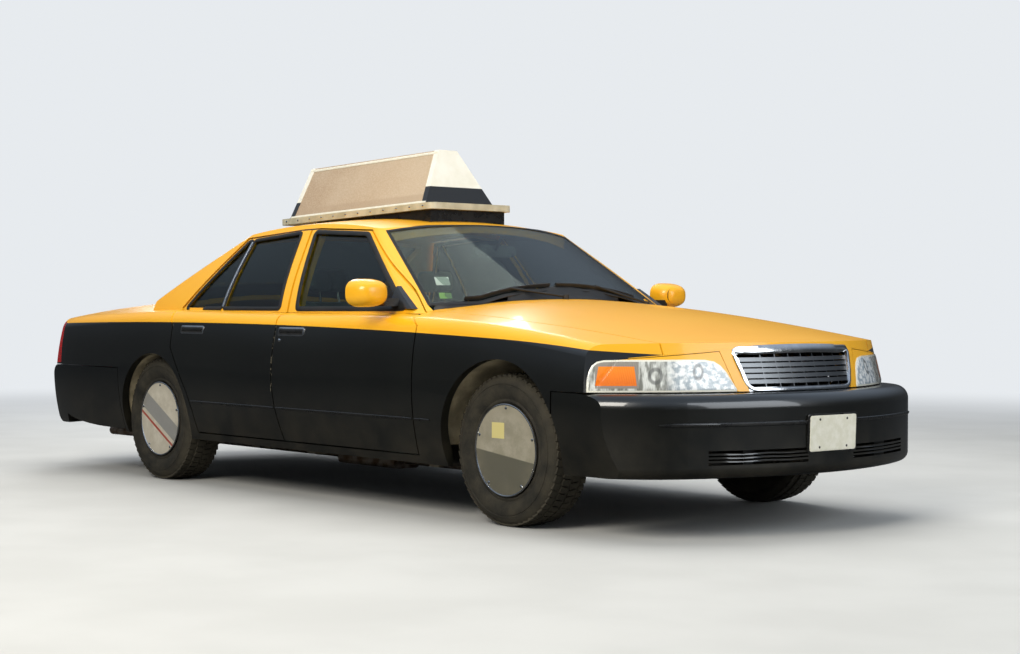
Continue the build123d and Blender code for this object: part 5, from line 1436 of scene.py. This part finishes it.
class CAB_OT_stage(bpy.types.Operator):
    """Set the floor, backdrop, lights and camera."""
    bl_idname = "cab.stage"
    bl_label = "Stage"

    def execute(self, context):
        scene = context.scene
        stage = scene.cab_stage
        scene.view_settings.view_transform = "Standard"
        backdrop = (0.8, 0.83, 0.86, 1)
        bm = bmesh.new()
        bmesh.ops.create_grid(bm, x_segments=2, y_segments=2, size=30)
        floor = bpy.data.objects.new("floor", bpy.data.meshes.new("floor"))
        bm.to_mesh(floor.data)
        bm.free()
        scene.collection.objects.link(floor)
        ground = Finish("Studio floor", 0.9)
        tree = ground.tree
        rays, seen = seen_rays(tree)
        pale = blend(ground.patches(1.5, 4.0, 0.3, 0.7), (0.5, 0.5, 0.48, 1), (0.54, 0.54, 0.52, 1))
        ground.put(Base_Color=blend(Value(tree, rays["Is Glossy Ray"]), pale, (0.03, 0.029, 0.026, 1)))
        away = node(tree, "ShaderNodeVectorMath", {0: ground.point}, operation="LENGTH").outputs["Value"]
        haze = node(tree, "ShaderNodeEmission", {"Color": backdrop, "Strength": 1.0})
        far = ramp(Value(tree, away), 4.5, 13.0) * seen
        mix = node(tree, "ShaderNodeMixShader", {0: far, 1: ground.shader.outputs[0], 2: haze.outputs[0]})
        join(tree, mix.outputs[0], tree.nodes["Material Output"].inputs["Surface"])
        floor.data.materials.append(ground.material)
        world = bpy.data.worlds.new("Studio")
        scene.world = world
        world.use_nodes = True
        tree = world.node_tree
        dome = tree.nodes["Background"]
        dome.inputs["Color"].default_value = (0.62, 0.68, 0.76, 1)
        dome.inputs["Strength"].default_value = 0.42
        pale = node(tree, "ShaderNodeBackground", {"Color": backdrop, "Strength": 1.0})
        rays, seen = seen_rays(tree)
        mix = node(tree, "ShaderNodeMixShader", {0: seen, 1: dome.outputs[0], 2: pale.outputs[0]})
        way = node(tree, "ShaderNodeTexCoord").outputs["Generated"]
        height = Value(tree, node(tree, "ShaderNodeSeparateXYZ", {0: way}).outputs[2])
        sky = blend(ramp(height, 0.08, 0.75), (0.055, 0.06, 0.065, 1), (0.5, 0.6, 0.75, 1))
        gleam = node(tree, "ShaderNodeBackground", {"Color": sky, "Strength": 0.9})
        shown = node(tree, "ShaderNodeMixShader", {0: rays["Is Glossy Ray"], 1: mix.outputs[0],
                                                   2: gleam.outputs[0]})
        join(tree, shown.outputs[0], tree.nodes["World Output"].inputs["Surface"])
        for name, place, size, energy, colour in (
                ("key", (3.5, -7.5, 5.5), 4.0, 620, (1.0, 0.95, 0.86)),
                ("top", (-0.5, 0.5, 6.5), 6.0, 420, (1.0, 0.98, 0.94)),
                ("fill", (7.5, 1.5, 3.2), 4.0, 190, (0.9, 0.95, 1.0)),
                ("back", (-7.0, 4.0, 4.5), 4.0, 300, (0.95, 0.97, 1.0))):
            data = bpy.data.lights.new(name, "AREA")
            data.size = size
            data.energy = energy
            data.color = colour
            lamp = bpy.data.objects.new(name, data)
            lamp.location = place
            lamp.visible_glossy = name != "top"
            lamp.rotation_euler = (Vector((0, 0, 0.6)) - Vector(place)).to_track_quat("-Z", "Y").to_euler()
            scene.collection.objects.link(lamp)
        data = bpy.data.cameras.new("camera")
        data.sensor_width = 36
        data.lens = stage.focal_pixels * data.sensor_width / IMAGE_WIDTH
        data.clip_end = 200
        camera = bpy.data.objects.new("camera", data)
        yaw, pitch = stage.camera_yaw, stage.camera_pitch
        heading = Vector((cos(yaw) * cos(pitch), sin(yaw) * cos(pitch), -sin(pitch)))
        turn = heading.to_track_quat("-Z", "Y").to_matrix() @ Matrix.Rotation(stage.camera_roll, 3, "Z")
        camera.matrix_world = Matrix.Translation(stage.camera_place) @ turn.to_4x4()
        scene.collection.objects.link(camera)
        scene.camera = camera
        return {"FINISHED"}


OPERATORS = (CAB_OT_finishes, CAB_OT_seals, CAB_OT_doors, CAB_OT_nose, CAB_OT_wipers, CAB_OT_wheels,
             CAB_OT_sign, CAB_OT_seats, CAB_OT_lamps, CAB_OT_stage)
SETTINGS = {"cab_paint": PaintSettings, "cab_trim": TrimSettings, "cab_wheels": WheelSettings,
            "cab_seats": SeatSettings, "cab_stage": StageSettings}


class CAB_PT_panel(bpy.types.Panel):
    """Lists the steps that dress the cab."""
    bl_label = "Cab"
    bl_idname = "CAB_PT_panel"
    bl_space_type = "VIEW_3D"
    bl_region_type = "UI"
    bl_category = "Cab"

    def draw(self, context):
        for operator in OPERATORS:
            self.layout.operator(operator.bl_idname, text=operator.bl_label)


def register():
    for kind in (*SETTINGS.values(), *OPERATORS, CAB_PT_panel):
        bpy.utils.register_class(kind)
    for name, kind in SETTINGS.items():
        setattr(bpy.types.Scene, name, PointerProperty(type=kind))


def unregister():
    for name in SETTINGS:
        delattr(bpy.types.Scene, name)
    for kind in (CAB_PT_panel, *reversed(OPERATORS), *reversed(list(SETTINGS.values()))):
        bpy.utils.unregister_class(kind)


def main():
    register()
    bpy.ops.cab.finishes()
    bpy.ops.cab.seals()
    bpy.ops.cab.doors()
    bpy.ops.cab.nose()
    bpy.ops.cab.wipers()
    bpy.ops.cab.wheels()
    bpy.ops.cab.sign()
    bpy.ops.cab.seats()
    bpy.ops.cab.lamps()
    bpy.ops.cab.stage()


if __name__ == "__main__":
    main()
